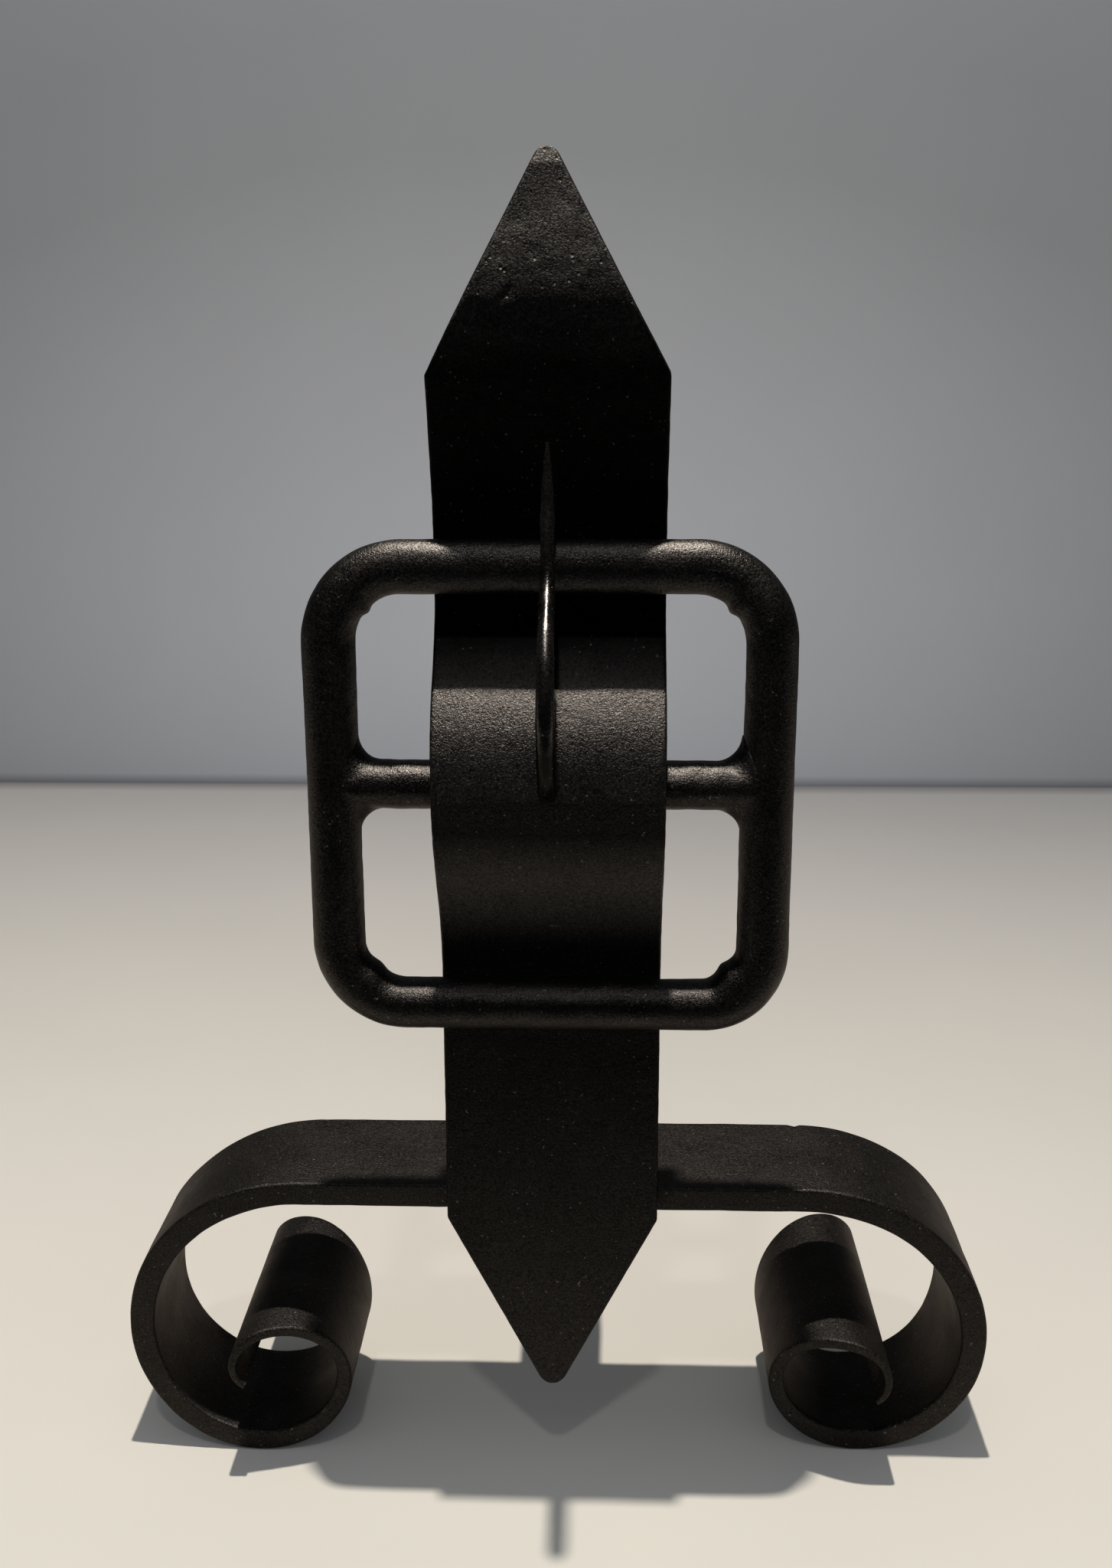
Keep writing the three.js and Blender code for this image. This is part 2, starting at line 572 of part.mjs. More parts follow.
function addWelds(parent, material) {
  const up = new THREE.Vector3(0, 0, 1);
  const back = new THREE.Vector3(0, 1, 0);
  const upStrap = new THREE.Vector3(0, strapSlope(CROSS_BAR_TOP + WELD_LEG), 1).normalize();
  const halfLog = LOG_BAR / 2;
  const logTop = logBarUnderside + LOG_BAR;
  const inset = LOG_BAR_BEVEL + WELD_MARGIN / 2;
  for (const [name, side] of [['left', -1], ['right', 1]]) {
    const outward = new THREE.Vector3(side, 0, 0);
    const lower = new THREE.Vector3(side * halfLog, WELD_LEG + WELD_MARGIN, CROSS_BAR_TOP);
    const rear = new THREE.Vector3(side * halfLog, CROSS_BAR_DEPTH - WELD_MARGIN, CROSS_BAR_TOP);
    addPiece(parent, `log_bar_weld_${name}`, makeWeld(lower, rear, outward, up), material);
    const foot = againstStrap(side * halfLog, CROSS_BAR_TOP + WELD_LEG + WELD_MARGIN);
    const head = againstStrap(side * halfLog, logTop - inset);
    addPiece(parent, `strap_side_weld_${name}`, makeWeld(foot, head, outward, back), material);
    const inner = againstStrap(side * (halfLog + WELD_MARGIN), CROSS_BAR_TOP);
    const outer = againstStrap(side * (halfStrap - WELD_MARGIN), CROSS_BAR_TOP);
    addPiece(parent, `cross_bar_weld_${name}`, makeWeld(inner, outer, back, upStrap), material);
  }
  const topLeft = againstStrap(-halfLog + inset, logTop);
  const topRight = againstStrap(halfLog - inset, logTop);
  const upFromLog = new THREE.Vector3(0, strapSlope(logTop + WELD_LEG), 1).normalize();
  addPiece(parent, 'strap_top_weld', makeWeld(topLeft, topRight, back, upFromLog), material);
}

// ---------------------------------------------------------------- assembly
const strap = cut(makeStrap(), tongueHole());
addPiece(andiron, 'strap', strap, iron(0x2b2624, 0.5));
addPiece(andiron, 'buckle_tongue', makeTongue(), iron(0x3a332e, 0.4));
addPiece(andiron, 'cross_bar', makeCrossBar(), iron(0x38342f, 0.48));
addPiece(andiron, 'log_bar', makeLogBar(), iron(0x2c2826, 0.6));
addWelds(andiron, iron(0x332e2a, 0.55));

const buckle = new THREE.Group();
buckle.name = 'buckle';
buckle.position.set(0, CENTRE_BAR_Y, CENTRE_BAR_HEIGHT);
buckle.rotation.x = -lean;
addPiece(buckle, 'buckle_frame', makeBuckleFrame(), iron(0x2e2826, 0.42));
addPiece(buckle, 'buckle_centre_bar', makeCentreBar(), iron(0x352f2b, 0.45));
andiron.add(buckle);

// The origin is the middle of the footprint, on the floor.
const bounds = new THREE.Box3().setFromObject(andiron);
andiron.position.y = -(bounds.min.y + bounds.max.y) / 2;

export default andiron;
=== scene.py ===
"""Looks of the andiron: blackened wrought iron, with a belt-and-buckle front on scroll feet.

The shapes below are in millimetres in the maker's own frame, whose Y runs back from the cross
bar's front face, and go into Blender in metres in the frame of the CAD.
"""
import math

import bpy
import numpy as np
from mathutils import Matrix, Vector


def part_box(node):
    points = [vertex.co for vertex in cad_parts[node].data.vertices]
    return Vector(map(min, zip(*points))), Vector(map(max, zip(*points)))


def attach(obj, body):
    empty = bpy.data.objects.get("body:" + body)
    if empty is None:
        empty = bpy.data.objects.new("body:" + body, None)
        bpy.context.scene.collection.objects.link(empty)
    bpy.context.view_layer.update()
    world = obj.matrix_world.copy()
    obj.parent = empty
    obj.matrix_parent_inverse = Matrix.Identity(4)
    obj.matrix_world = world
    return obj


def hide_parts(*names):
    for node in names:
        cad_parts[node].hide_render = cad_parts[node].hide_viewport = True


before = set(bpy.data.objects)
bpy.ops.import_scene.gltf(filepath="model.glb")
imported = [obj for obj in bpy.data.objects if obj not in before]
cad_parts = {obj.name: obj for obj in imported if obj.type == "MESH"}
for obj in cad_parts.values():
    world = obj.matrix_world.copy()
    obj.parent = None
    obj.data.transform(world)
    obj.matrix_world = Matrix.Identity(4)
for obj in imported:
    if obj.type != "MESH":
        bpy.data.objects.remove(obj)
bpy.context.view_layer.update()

# ------------------------------------------------------------------ sizes, as in the CAD
MM = 0.001
SEAT_GAP = 0.3                                  # daylight between pieces that touch
STRAP_WIDTH, STRAP_THICKNESS = 60.0, 5.0
STRAP_TOP, STRAP_BOTTOM = 367.7, 31.5
POINT_ANGLE, UPPER_TIP_RADIUS, LOWER_TIP_RADIUS = math.radians(27.45), 5.0, 4.5
NECK_RISE, UPPER_BEND_DROP = 16.3, 33.7         # above the top bar, and below the upper tip
LOWER_TIP_LEAD, NECK_LEAD, SHOULDER_LEAD, UPPER_BEND_LEAD, UPPER_TIP_LEAD = 4.0, 0.8, 8.4, 10.6, 7.3
BULGE_RUN_DOWN, BULGE_HEADROOM = 55.0, 2.3
FRAME_RADIUS, CENTRE_RADIUS = 7.0, 6.5
BUCKLE_WIDTH, BUCKLE_HEIGHT = 127.0, 131.0
CENTRE_BAR_Y, CENTRE_BAR_Z, CENTRE_BAR_RISE = -5.4, 213.5, 2.2
TONGUE_FOOT_RISE, TONGUE_REACH, TONGUE_BOW_RISE, TONGUE_TIP_RISE = 1.5, 15.5, 24.0, 30.8
TONGUE_NECK_WIDTH, TONGUE_LENGTH = 4.2, 105.0
CROSS_BAR_DEPTH, CROSS_BAR_THICKNESS, CROSS_BAR_TOP = 38.0, 7.8, 91.2
FOOT_THICKNESS, CURL_THICKNESS, LIP_THICKNESS, EDGE_THICKNESS = 7.1, 4.6, 2.5, 2.0
LOG_BAR, LOG_BAR_REACH, LOG_BAR_BEND, LOG_BAR_BEVEL = 25.0, 378.0, 32.0, 1.6
REAR_FOOT_TAPER, REAR_FOOT_TAPER_RUN = 1.5, 4.5
WELD_LEG, WELD_MARGIN = 5.0, 3.0
FACE_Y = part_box("log_bar")[1].y / MM - LOG_BAR_REACH    # the cross bar's front face, in the CAD

# In these the looks stray a little from the CAD.
BUCKLE_LEAN = math.radians(3.1)                 # a degree more
BULGE_FULLNESS = 1.42                           # of the bulge's upper flank, 1.8 there
BOW_DROP = 2.0                                  # the tongue's bow is foremost this much lower
WORN_ANGLE, WORN_RADIUS = math.radians(28.4), 3.4   # of the upper point, worn slimmer
WORN_RUN, WORN_SLOPE = 3.8, 0.22                # the facet ground off the front of the upper tip
UPPER_PUSH, UPPER_PUSH_RUN = 1.6, 18.0          # the upper bend stands this much further forward

bar_spacing = BUCKLE_HEIGHT - 2 * FRAME_RADIUS
top_rise = bar_spacing / 2 - CENTRE_BAR_RISE
bottom_drop = bar_spacing / 2 + CENTRE_BAR_RISE
side_x = BUCKLE_WIDTH / 2 - FRAME_RADIUS


def up_the_buckle(way):
    """Y and Z at that way up the leaning buckle from its centre bar."""
    return CENTRE_BAR_Y + way * math.sin(BUCKLE_LEAN), CENTRE_BAR_Z + way * math.cos(BUCKLE_LEAN)


top_bar, bottom_bar = up_the_buckle(top_rise), up_the_buckle(-bottom_drop)


# ------------------------------------------------------------------ curves
def smooth_through(knots, x):
    """Cubic through knots (x, value); its slope at a knot is that between the knot's neighbours."""
    kx, kv = np.array(knots, float).T
    slope = np.gradient(kv)
    slope[1:-1] = (kv[2:] - kv[:-2]) / (kx[2:] - kx[:-2])
    slope[0] = (kv[1] - kv[0]) / (kx[1] - kx[0])
    slope[-1] = (kv[-1] - kv[-2]) / (kx[-1] - kx[-2])
    x = np.asarray(x, float)
    i = np.clip(np.searchsorted(kx, x) - 1, 0, len(kx) - 2)
    run = kx[i + 1] - kx[i]
    t = (x - kx[i]) / run
    start = kv[i] * (1 + 2 * t) * (1 - t) ** 2 + run * slope[i] * t * (1 - t) ** 2
    end = kv[i + 1] * t * t * (3 - 2 * t) + run * slope[i + 1] * t * t * (t - 1)
    return start + end


def waves(u, v, length, seed, count=14):
    """Rolling unevenness, nearly all of it between -1 and 1: a scaled sum of plane waves of about
    that length, in seeded directions and phases, as a blacksmith's hammer leaves it."""
    rng = np.random.default_rng(seed)
    angles, phases = rng.uniform(0, math.pi, count), rng.uniform(0, 2 * math.pi, count)
    stretches = rng.uniform(0.6, 1.6, count)
    total = 0
    for angle, phase, stretch in zip(angles, phases, stretches):
        k = 2 * math.pi / (length * stretch)
        total = total + np.sin(k * (u * math.cos(angle) + v * math.sin(angle)) + phase)
    return total / math.sqrt(count) / 1.6


def hammered(u, v, *passes, lift=0):
    """Sum of the waves of several passes (depth, length, seed), each lifted before its depth."""
    return sum(depth * (lift + waves(u, v, length, seed)) for depth, length, seed in passes)


def dents(u, v, spots):
    """Sum of round spots (u, v, radius, height), each height * exp(-(distance / radius) ** 2)."""
    total = np.zeros(np.broadcast(u, v).shape)
    for cu, cv, radius, height in spots:
        total += height * np.exp(-((u - cu) ** 2 + (v - cv) ** 2) / radius ** 2)
    return total


def rounded_rectangle(u0, u1, v0, v1, radius, across, along=3, corner=5):
    """Outline of a rectangle with rounded corners, for arrays of sides. Across and along are the
    counts of points on its sides along u and v, and corner is that inside each quarter round."""
    u0, u1, v0, v1, r = np.broadcast_arrays(*(np.asarray(a, float) for a in (u0, u1, v0, v1, radius)))
    parts = []
    line = np.linspace(0, 1, across)
    side = np.linspace(0, 1, along + 2)
    turn = np.linspace(0, math.pi / 2, corner + 2)[1:-1]

    def add(u, v):
        parts.append(np.stack([u, v], -1))

    def straight(ua, ub, va, vb, share):
        add(ua[..., None] + (ub - ua)[..., None] * share, va[..., None] + (vb - va)[..., None] * share)

    def bend(cu, cv, start):
        angle = start + turn
        add(cu[..., None] + r[..., None] * np.cos(angle), cv[..., None] + r[..., None] * np.sin(angle))

    straight(u0 + r, u1 - r, v0, v0, line)
    bend(u1 - r, v0 + r, -math.pi / 2)
    straight(u1, u1, v0 + r, v1 - r, side)
    bend(u1 - r, v1 - r, 0)
    straight(u1 - r, u0 + r, v1, v1, line)
    bend(u0 + r, v1 - r, math.pi / 2)
    straight(u0, u0, v1 - r, v0 + r, side)
    bend(u0 + r, v0 + r, math.pi)
    return np.concatenate(parts, -2)


def way_along(points):
    """Length of the path up to each of its points."""
    return np.concatenate([[0], np.cumsum(np.linalg.norm(np.diff(points, axis=0), axis=1))])


# ------------------------------------------------------------------ meshes
SMOOTH_BELOW = math.radians(42)                 # edges that turn more than this stay sharp


def skin(name, rows, ring=False):
    """A closed skin over rows of points, an array (row, column, 3) in mm: each column runs along the
    piece and each row round it. The end rows are closed by a face, or meet each other in a ring.
    The UV map holds the way along and the way round, in metres."""
    rows = np.asarray(rows, float)
    count, girth = rows.shape[:2]
    i = np.arange(count if ring else count - 1)[:, None]
    j = np.arange(girth)[None, :]
    k, l = (i + 1) % count, (j + 1) % girth
    quads = np.stack([i * girth + j, i * girth + l, k * girth + l, k * girth + j], -1).reshape(-1, 4)
    points = rows.reshape(-1, 3)
    a, b, c, d = (points[quads[:, n]] for n in range(4))
    inward = np.einsum("ij,ij->", a, np.cross(b, c)) + np.einsum("ij,ij->", a, np.cross(c, d)) < 0
    step_along = np.linalg.norm(np.diff(rows, axis=0, append=rows[:1]), axis=2).mean(1)
    step_round = np.linalg.norm(np.diff(rows, axis=1, append=rows[:, :1]), axis=2).mean(0)
    u = np.concatenate([[0], np.cumsum(step_along)]) * MM
    v = np.concatenate([[0], np.cumsum(step_round)]) * MM
    corner_i = np.stack([i + 0 * j, i + 0 * j, i + 1 + 0 * j, i + 1 + 0 * j], -1).reshape(-1, 4)
    corner_j = np.stack([j + 0 * i, j + 1 + 0 * i, j + 1 + 0 * i, j + 0 * i], -1).reshape(-1, 4)
    uv = np.stack([u[corner_i], v[corner_j]], -1)
    if inward:
        quads, uv = quads[:, ::-1], uv[:, ::-1]
    caps = []
    if not ring:
        first, last = np.arange(girth), np.arange(girth) + (count - 1) * girth
        caps = [first, last[::-1]] if inward else [first[::-1], last]
    loops = np.concatenate([quads.ravel(), *caps]).astype(np.int32)
    sizes = np.array([4] * len(quads) + [girth] * len(caps), np.int32)
    starts = np.concatenate([[0], np.cumsum(sizes)[:-1]]).astype(np.int32)
    points = (points + [0, FACE_Y, 0]) * MM
    mesh = bpy.data.meshes.new(name)
    mesh.vertices.add(len(points))
    mesh.vertices.foreach_set("co", points.ravel())
    mesh.loops.add(len(loops))
    mesh.loops.foreach_set("vertex_index", loops)
    mesh.polygons.add(len(sizes))
    mesh.polygons.foreach_set("loop_start", starts)
    layer = mesh.uv_layers.new(name="way")
    cap_uv = np.zeros((len(caps) * girth, 2))
    layer.uv.foreach_set("vector", np.concatenate([uv.reshape(-1, 2), cap_uv]).ravel())
    mesh.update(calc_edges=True)
    mesh.validate()
    mesh.shade_smooth()
    mesh.set_sharp_from_angle(angle=SMOOTH_BELOW)
    return into_scene(name, mesh)


def into_scene(name, data):
    """An object of that name and data, in the scene."""
    made = bpy.data.objects.new(name, data)
    bpy.context.scene.collection.objects.link(made)
    return made


def carry(outline, centres, axis_u, axis_v):
    """An outline (row, column, 2) carried along centres (row, 3): centre + u * axis_u + v * axis_v."""
    outline = np.broadcast_to(outline, (len(centres),) + outline.shape[-2:])
    return centres[:, None] + outline[..., :1] * axis_u[:, None] + outline[..., 1:] * axis_v[:, None]


def every_row(direction, rows):
    """The same direction for each of the rows."""
    return np.tile(np.array(direction, float), (len(rows), 1))


def finish_piece(piece, material, slot, *nodes):
    """The piece gets its finish, stands for those CAD nodes and rides on the one body."""
    piece.data.materials.append(material)
    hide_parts(*nodes)
    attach(piece, "root")
    return piece


# ------------------------------------------------------------------ strap
STRAP_STEP, STRAP_ACROSS = 0.68, 76             # height of a row, and points across a face
STRAP_EDGE = 0.95                               # rounding of its long edges
FACE_DEPTH, TIP_FADE = 1.2, 3.0                 # the relief ends this far round an edge, and at a tip
TIP_CUT, TIP_START = 0.15, 0.03                 # the first row over a tip: below it, share of its radius


def point_height(radius):
    return STRAP_WIDTH / 2 / math.tan(POINT_ANGLE) - radius / math.sin(POINT_ANGLE) + radius


strap_at_cross_bar = -SEAT_GAP - STRAP_THICKNESS
strap_at_top_bar = top_bar[0] + FRAME_RADIUS + SEAT_GAP
strap_at_bottom_bar = bottom_bar[0] + FRAME_RADIUS + SEAT_GAP
upper_bend = STRAP_TOP - UPPER_BEND_DROP
strap_line = [
    (STRAP_BOTTOM, strap_at_cross_bar - LOWER_TIP_LEAD),
    (CROSS_BAR_TOP, strap_at_cross_bar),
    (bottom_bar[1], strap_at_bottom_bar),
    (top_bar[1], strap_at_top_bar),
    (top_bar[1] + NECK_RISE, strap_at_top_bar - NECK_LEAD),
    (STRAP_TOP - point_height(UPPER_TIP_RADIUS), strap_at_top_bar - SHOULDER_LEAD),
    (upper_bend, strap_at_top_bar - UPPER_BEND_LEAD),
    (STRAP_TOP, strap_at_top_bar - UPPER_TIP_LEAD),
]
bulge_run_up = top_bar[1] - FRAME_RADIUS - BULGE_HEADROOM - CENTRE_BAR_Z
bulge_crown = CENTRE_BAR_Y - CENTRE_RADIUS - SEAT_GAP - STRAP_THICKNESS


def strap_front(z):
    """Y of the strap's front face: its line less a bulge over the buckle's centre bar, half a cosine
    wave down and a fuller half wave up."""
    share = np.minimum(np.abs(z - CENTRE_BAR_Z) / np.where(z > CENTRE_BAR_Z, bulge_run_up, BULGE_RUN_DOWN), 1)
    share = share ** np.where(z > CENTRE_BAR_Z, BULGE_FULLNESS, 1)
    depth = smooth_through(strap_line, CENTRE_BAR_Z) - bulge_crown
    return smooth_through(strap_line, z) - depth * (1 + np.cos(math.pi * share)) / 2


def strap_slope(z):
    return strap_front(z + 0.5) - strap_front(z - 0.5)


def strap_back(z):
    return strap_front(z) + STRAP_THICKNESS * np.hypot(1, strap_slope(z))


def point_half_width(distance, radius, angle):
    """Half-width at a distance from a rounded tip: an arc, then the cut edge."""
    arc = np.sqrt(np.maximum(2 * radius * distance - distance ** 2, 0))
    edge = (distance + radius / math.sin(angle) - radius) * math.tan(angle)
    return np.where(distance < radius * (1 - math.sin(angle)), arc, edge)


def strap_surface(x, z):
    """How far the front stands off its true face: hammer waves everywhere, scale pits, flakes and a
    crack on the upper point, and swirls on the bulge's lower flank, as marks (x, z, radius, depth)."""
    rng = np.random.default_rng(11)
    top = STRAP_TOP
    pits = [(rng.uniform(-24, 24), top - rng.uniform(12, 66),
             rng.uniform(0.7, 1.7), -rng.uniform(0.05, 0.2)) for n in range(90)]
    flakes = [(rng.uniform(-17, 14), top - rng.uniform(16, 52),
               rng.uniform(1.6, 3.6), rng.uniform(-0.12, 0.1)) for n in range(42)]
    crack = [(-8.6 - 5.8 * t + 0.6 * math.sin(9 * t), 336.8 - 8.7 * t, 0.65, -0.13)
             for t in np.linspace(0, 1, 14)]
    swirls = [(rng.uniform(-20, 26), rng.uniform(165, 200),
               rng.uniform(1.5, 4.5), rng.uniform(-0.2, 0.2)) for n in range(46)]
    height = hammered(x, z, (0.13, 26, 3), (0.035, 8, 4))
    return height + sum(dents(x, z, marks) for marks in (pits, flakes, crack, swirls))


def strap_rows():
    """Heights of the strap's cross-sections, with an arc of closer ones at each tip."""
    arc = np.radians(np.linspace(14, 62, 10))
    lower = STRAP_BOTTOM + LOWER_TIP_RADIUS * (1 - np.cos(arc))
    upper = STRAP_TOP - TIP_CUT - WORN_RADIUS * (1 - np.cos(arc) - TIP_START)[::-1]
    middle = np.linspace(lower[-1], upper[0], int((upper[0] - lower[-1]) / STRAP_STEP))[1:-1]
    return np.concatenate([lower, middle, upper])


def make_strap():
    """Rounded rectangles stacked in height and set square to the strap's line; their half-width is the
    least of the bar's and of the two points'. A worn facet leans back over the top of the tip."""
    z = strap_rows()
    half = np.minimum.reduce([
        np.full_like(z, STRAP_WIDTH / 2),
        point_half_width(z - STRAP_BOTTOM, LOWER_TIP_RADIUS, POINT_ANGLE),
        point_half_width(STRAP_TOP - z, WORN_RADIUS, WORN_ANGLE),
    ])
    ragged = np.abs(hammered(z, 0 * z, (0.16, 17, 5), (0.07, 5, 6)))
    firm = np.minimum(half * 0.02, 1)
    edge = np.minimum(STRAP_EDGE, half * 0.3)
    to_tip = np.minimum(z - STRAP_BOTTOM, STRAP_TOP - z)
    rounding = edge - np.sqrt(np.maximum(edge ** 2 - np.maximum(edge - to_tip, 0) ** 2, 0))
    worn = WORN_SLOPE * np.maximum(WORN_RUN - (STRAP_TOP - z), 0)
    outline = rounded_rectangle(-half + firm * ragged, half - firm * ragged[::-1],
                                -STRAP_THICKNESS + rounding, -rounding - worn, edge, STRAP_ACROSS)
    slope = strap_slope(z)
    normal = np.stack([0 * z, -1 / np.hypot(1, slope), slope / np.hypot(1, slope)], 1)
    push = UPPER_PUSH * np.exp(-((z - upper_bend) / UPPER_PUSH_RUN) ** 2)
    centres = np.stack([0 * z, strap_front(z) - push, z], 1)
    rows = carry(outline, centres, every_row((1, 0, 0), z), normal)
    on_front = np.clip((outline[..., 1] + FACE_DEPTH) / FACE_DEPTH, 0, 1)
    on_back = np.clip((-STRAP_THICKNESS + FACE_DEPTH - outline[..., 1]) / FACE_DEPTH, 0, 1)
    x, height = rows[..., 0], z[:, None]
    off = on_front * strap_surface(x, height) - on_back * hammered(x, height, (0.16, 22, 9))
    fade = np.clip(to_tip / TIP_FADE, 0, 1)[:, None]
    return skin("strap_forged", rows + (off * fade)[..., None] * normal[:, None])


# ------------------------------------------------------------------ tongue
TONGUE_STEP, TONGUE_ROUND = 0.45, 36            # length of a row, and points round the rod
TONGUE_WIDTHS = [(0, 5), (0.35, 4.7), (0.6, TONGUE_NECK_WIDTH), (0.74, 3.6), (0.82, 3.8), (0.9, 3), (1, 0.9)]
TONGUE_DEPTHS = [(0, 5), (0.35, 4.7), (0.6, TONGUE_NECK_WIDTH), (0.74, 3.6), (0.82, 2.6), (1, 0.9)]
tongue_foot_z = CENTRE_BAR_Z + TONGUE_FOOT_RISE
tongue_over_bar = top_bar[0] - FRAME_RADIUS - SEAT_GAP - TONGUE_NECK_WIDTH / 2
tongue_route = [
    (CENTRE_BAR_Y - CENTRE_RADIUS - SEAT_GAP, tongue_foot_z),
    (bulge_crown - 1, tongue_foot_z),
    (bulge_crown - 0.34 * TONGUE_REACH, tongue_foot_z + 0.07 * TONGUE_BOW_RISE),
    (bulge_crown - 0.66 * TONGUE_REACH, tongue_foot_z + 0.3 * TONGUE_BOW_RISE),
    (bulge_crown - TONGUE_REACH, tongue_foot_z + TONGUE_BOW_RISE - BOW_DROP),
    (bulge_crown - 0.68 * TONGUE_REACH, top_bar[1] - 2.3 * FRAME_RADIUS),
    (tongue_over_bar - 1, top_bar[1] - 0.3 * FRAME_RADIUS),
    (tongue_over_bar + 1.7, top_bar[1] + 1.6 * FRAME_RADIUS),
    (tongue_over_bar + 4.4, top_bar[1] + TONGUE_TIP_RISE),
]


def centripetal(points, per_span=60):
    """Centripetal Catmull-Rom curve through the points, each span a cubic whose end slopes weigh the
    neighbouring spans by the root of their lengths."""
    p = np.vstack([2 * points[0] - points[1], points, 2 * points[-1] - points[-2]])
    t = np.linspace(0, 1, per_span, endpoint=False)[:, None]
    made = []
    for a, b, c, d in zip(p[:-3], p[1:-2], p[2:-1], p[3:]):
        e, f, g = (math.sqrt(np.linalg.norm(w - v)) for v, w in ((a, b), (b, c), (c, d)))
        m = f * ((b - a) / e - (c - a) / (e + f) + (c - b) / f)
        n = f * ((c - b) / f - (d - b) / (f + g) + (d - c) / g)
        made.append(b + m * t + (3 * c - 3 * b - 2 * m - n) * t ** 2 + (2 * b - 2 * c + m + n) * t ** 3)
    return np.vstack(made + [points[-1:]])


def evenly(path, spacing):
    """The path again, at even steps of about that spacing, and the share of the way at each."""
    way = way_along(path)
    at = np.linspace(0, way[-1], int(way[-1] / spacing))
    return np.stack([np.interp(at, way, path[:, n]) for n in range(3)], 1), at / way[-1]


def make_tongue():
    """A tapering rod along its bow: width and depth by share of the way, flattened at the point."""
    points = np.array([(0, y, z) for y, z in tongue_route], float)
    path, share = evenly(centripetal(points), TONGUE_STEP)
    along = np.gradient(path, axis=0)
    along /= np.linalg.norm(along, axis=1)[:, None]
    across = every_row((1, 0, 0), path)
    width, depth = (np.interp(share, *zip(*table))[:, None] for table in (TONGUE_WIDTHS, TONGUE_DEPTHS))
    angle = np.linspace(0, 2 * math.pi, TONGUE_ROUND, endpoint=False)
    way = share[:, None] * TONGUE_LENGTH
    uneven = 1 - hammered(way, 3 * np.cos(angle), (0.03, 9, 21), lift=1)
    outline = np.stack([width / 2 * np.cos(angle) * uneven, depth / 2 * np.sin(angle) * uneven], -1)
    return skin("tongue_forged", carry(outline, path, across, np.cross(across, along)))


# ------------------------------------------------------------------ buckle
FRAME_STEP, FRAME_ROUND = 0.95, 52              # length of a row, and points round the bar
CORNER_ROWS = 1.6                               # rows in a corner, for each mm of its bend radius
EASED_MOST, TOP_BAR_FLAT = 0.8, 0.17            # most that wear takes off, and share off the top's front
# Its corners: side, height over the centre bar, bend radius, and where the quarter turn starts.
frame_corners = [
    (1, top_rise, 19.2, 0),
    (-1, top_rise, 19.2, 90),
    (-1, -bottom_drop, 18.0, 180),
    (1, -bottom_drop, 15.5, 270),
]
# Weld lumps on the inner corners: X and height of the bar's centre line there, width and height.
weld_lumps = [
    (-51.6, 50.0, 2.2, 0.8),
    (51.6, 50.0, 2.6, 1.1),
    (-51.0, -55.5, 5.0, 1.2),
    (51.8, -56.0, 7.0, 2.3),
]
# The hollow drawn into the right side bar's inner face: depth, height, and its reach along X and Z.
DRAWN_DEPTH, DRAWN_Z, DRAWN_X_RUN, DRAWN_Z_RUN = 0.55, 26.0, 6.0, 20.0


def lean_back(points):
    """Points drawn upright in the buckle's plane, leant back and set on the centre bar's place."""
    c, s = math.cos(BUCKLE_LEAN), math.sin(BUCKLE_LEAN)
    y, z = points[..., 1], points[..., 2]
    return np.stack([points[..., 0], CENTRE_BAR_Y + y * c + z * s, CENTRE_BAR_Z + z * c - y * s], -1)


def frame_path():
    """Centre line of the frame, with its outward direction: four quarter turns joined by straights."""
    arcs = []
    for side, z, radius, start in frame_corners:
        angle = np.radians(start + np.linspace(0, 90, 2 + int(radius * CORNER_ROWS)))
        out = np.stack([np.cos(angle), np.sin(angle)], 1)
        centre = np.array([side * (side_x - radius), z - math.copysign(radius, z)])
        arcs.append(np.hstack([centre + radius * out, out]))
    parts = []
    for this, after in zip(arcs, arcs[1:] + arcs[:1]):
        gap = np.linalg.norm(after[0, :2] - this[-1, :2])
        share = np.linspace(0, 1, int(gap / FRAME_STEP))[1:-1, None]
        parts += [this, this[-1] + (after[0] - this[-1]) * share]
    path = np.vstack(parts)
    return path[:, :2], path[:, 2:]


def make_frame():
    """A round bar round the frame's path. Its radius is eased by hammer waves, drawn down along the
    upper right side, and raised by weld lumps on the inner corners; the top bar's front is flatter."""
    path, out = frame_path()
    angle = np.linspace(0, 2 * math.pi, FRAME_ROUND, endpoint=False)
    centres = np.stack([path[:, 0], 0 * path[:, 0], path[:, 1]], 1)
    outward = np.stack([out[:, 0], 0 * out[:, 0], out[:, 1]], 1)
    x, z = path[:, :1], path[:, 1:]
    girth = FRAME_RADIUS * angle[None]
    inward = np.maximum(-np.cos(angle), 0)
    eased = hammered(x + girth, z, (0.09, 15, 31), lift=1) + hammered(x, z + girth, (0.04, 5, 32), lift=1)
    drawn = DRAWN_DEPTH * np.exp(-((x - side_x) / DRAWN_X_RUN) ** 2 - ((z - DRAWN_Z) / DRAWN_Z_RUN) ** 2)
    lumps = dents(x, z, weld_lumps) * inward ** 2
    radius = FRAME_RADIUS - np.minimum(eased + drawn * inward, EASED_MOST) + lumps
    on_top = np.clip((z - top_rise + 2 * FRAME_RADIUS) / 10, 0, 1) * np.maximum(-np.sin(angle), 0)
    outline = np.stack([radius * np.cos(angle), radius * np.sin(angle) * (1 - TOP_BAR_FLAT * on_top)], -1)
    rows = carry(outline, centres, outward, every_row((0, 1, 0), path))
    return skin("buckle_frame_forged", lean_back(rows), ring=True)


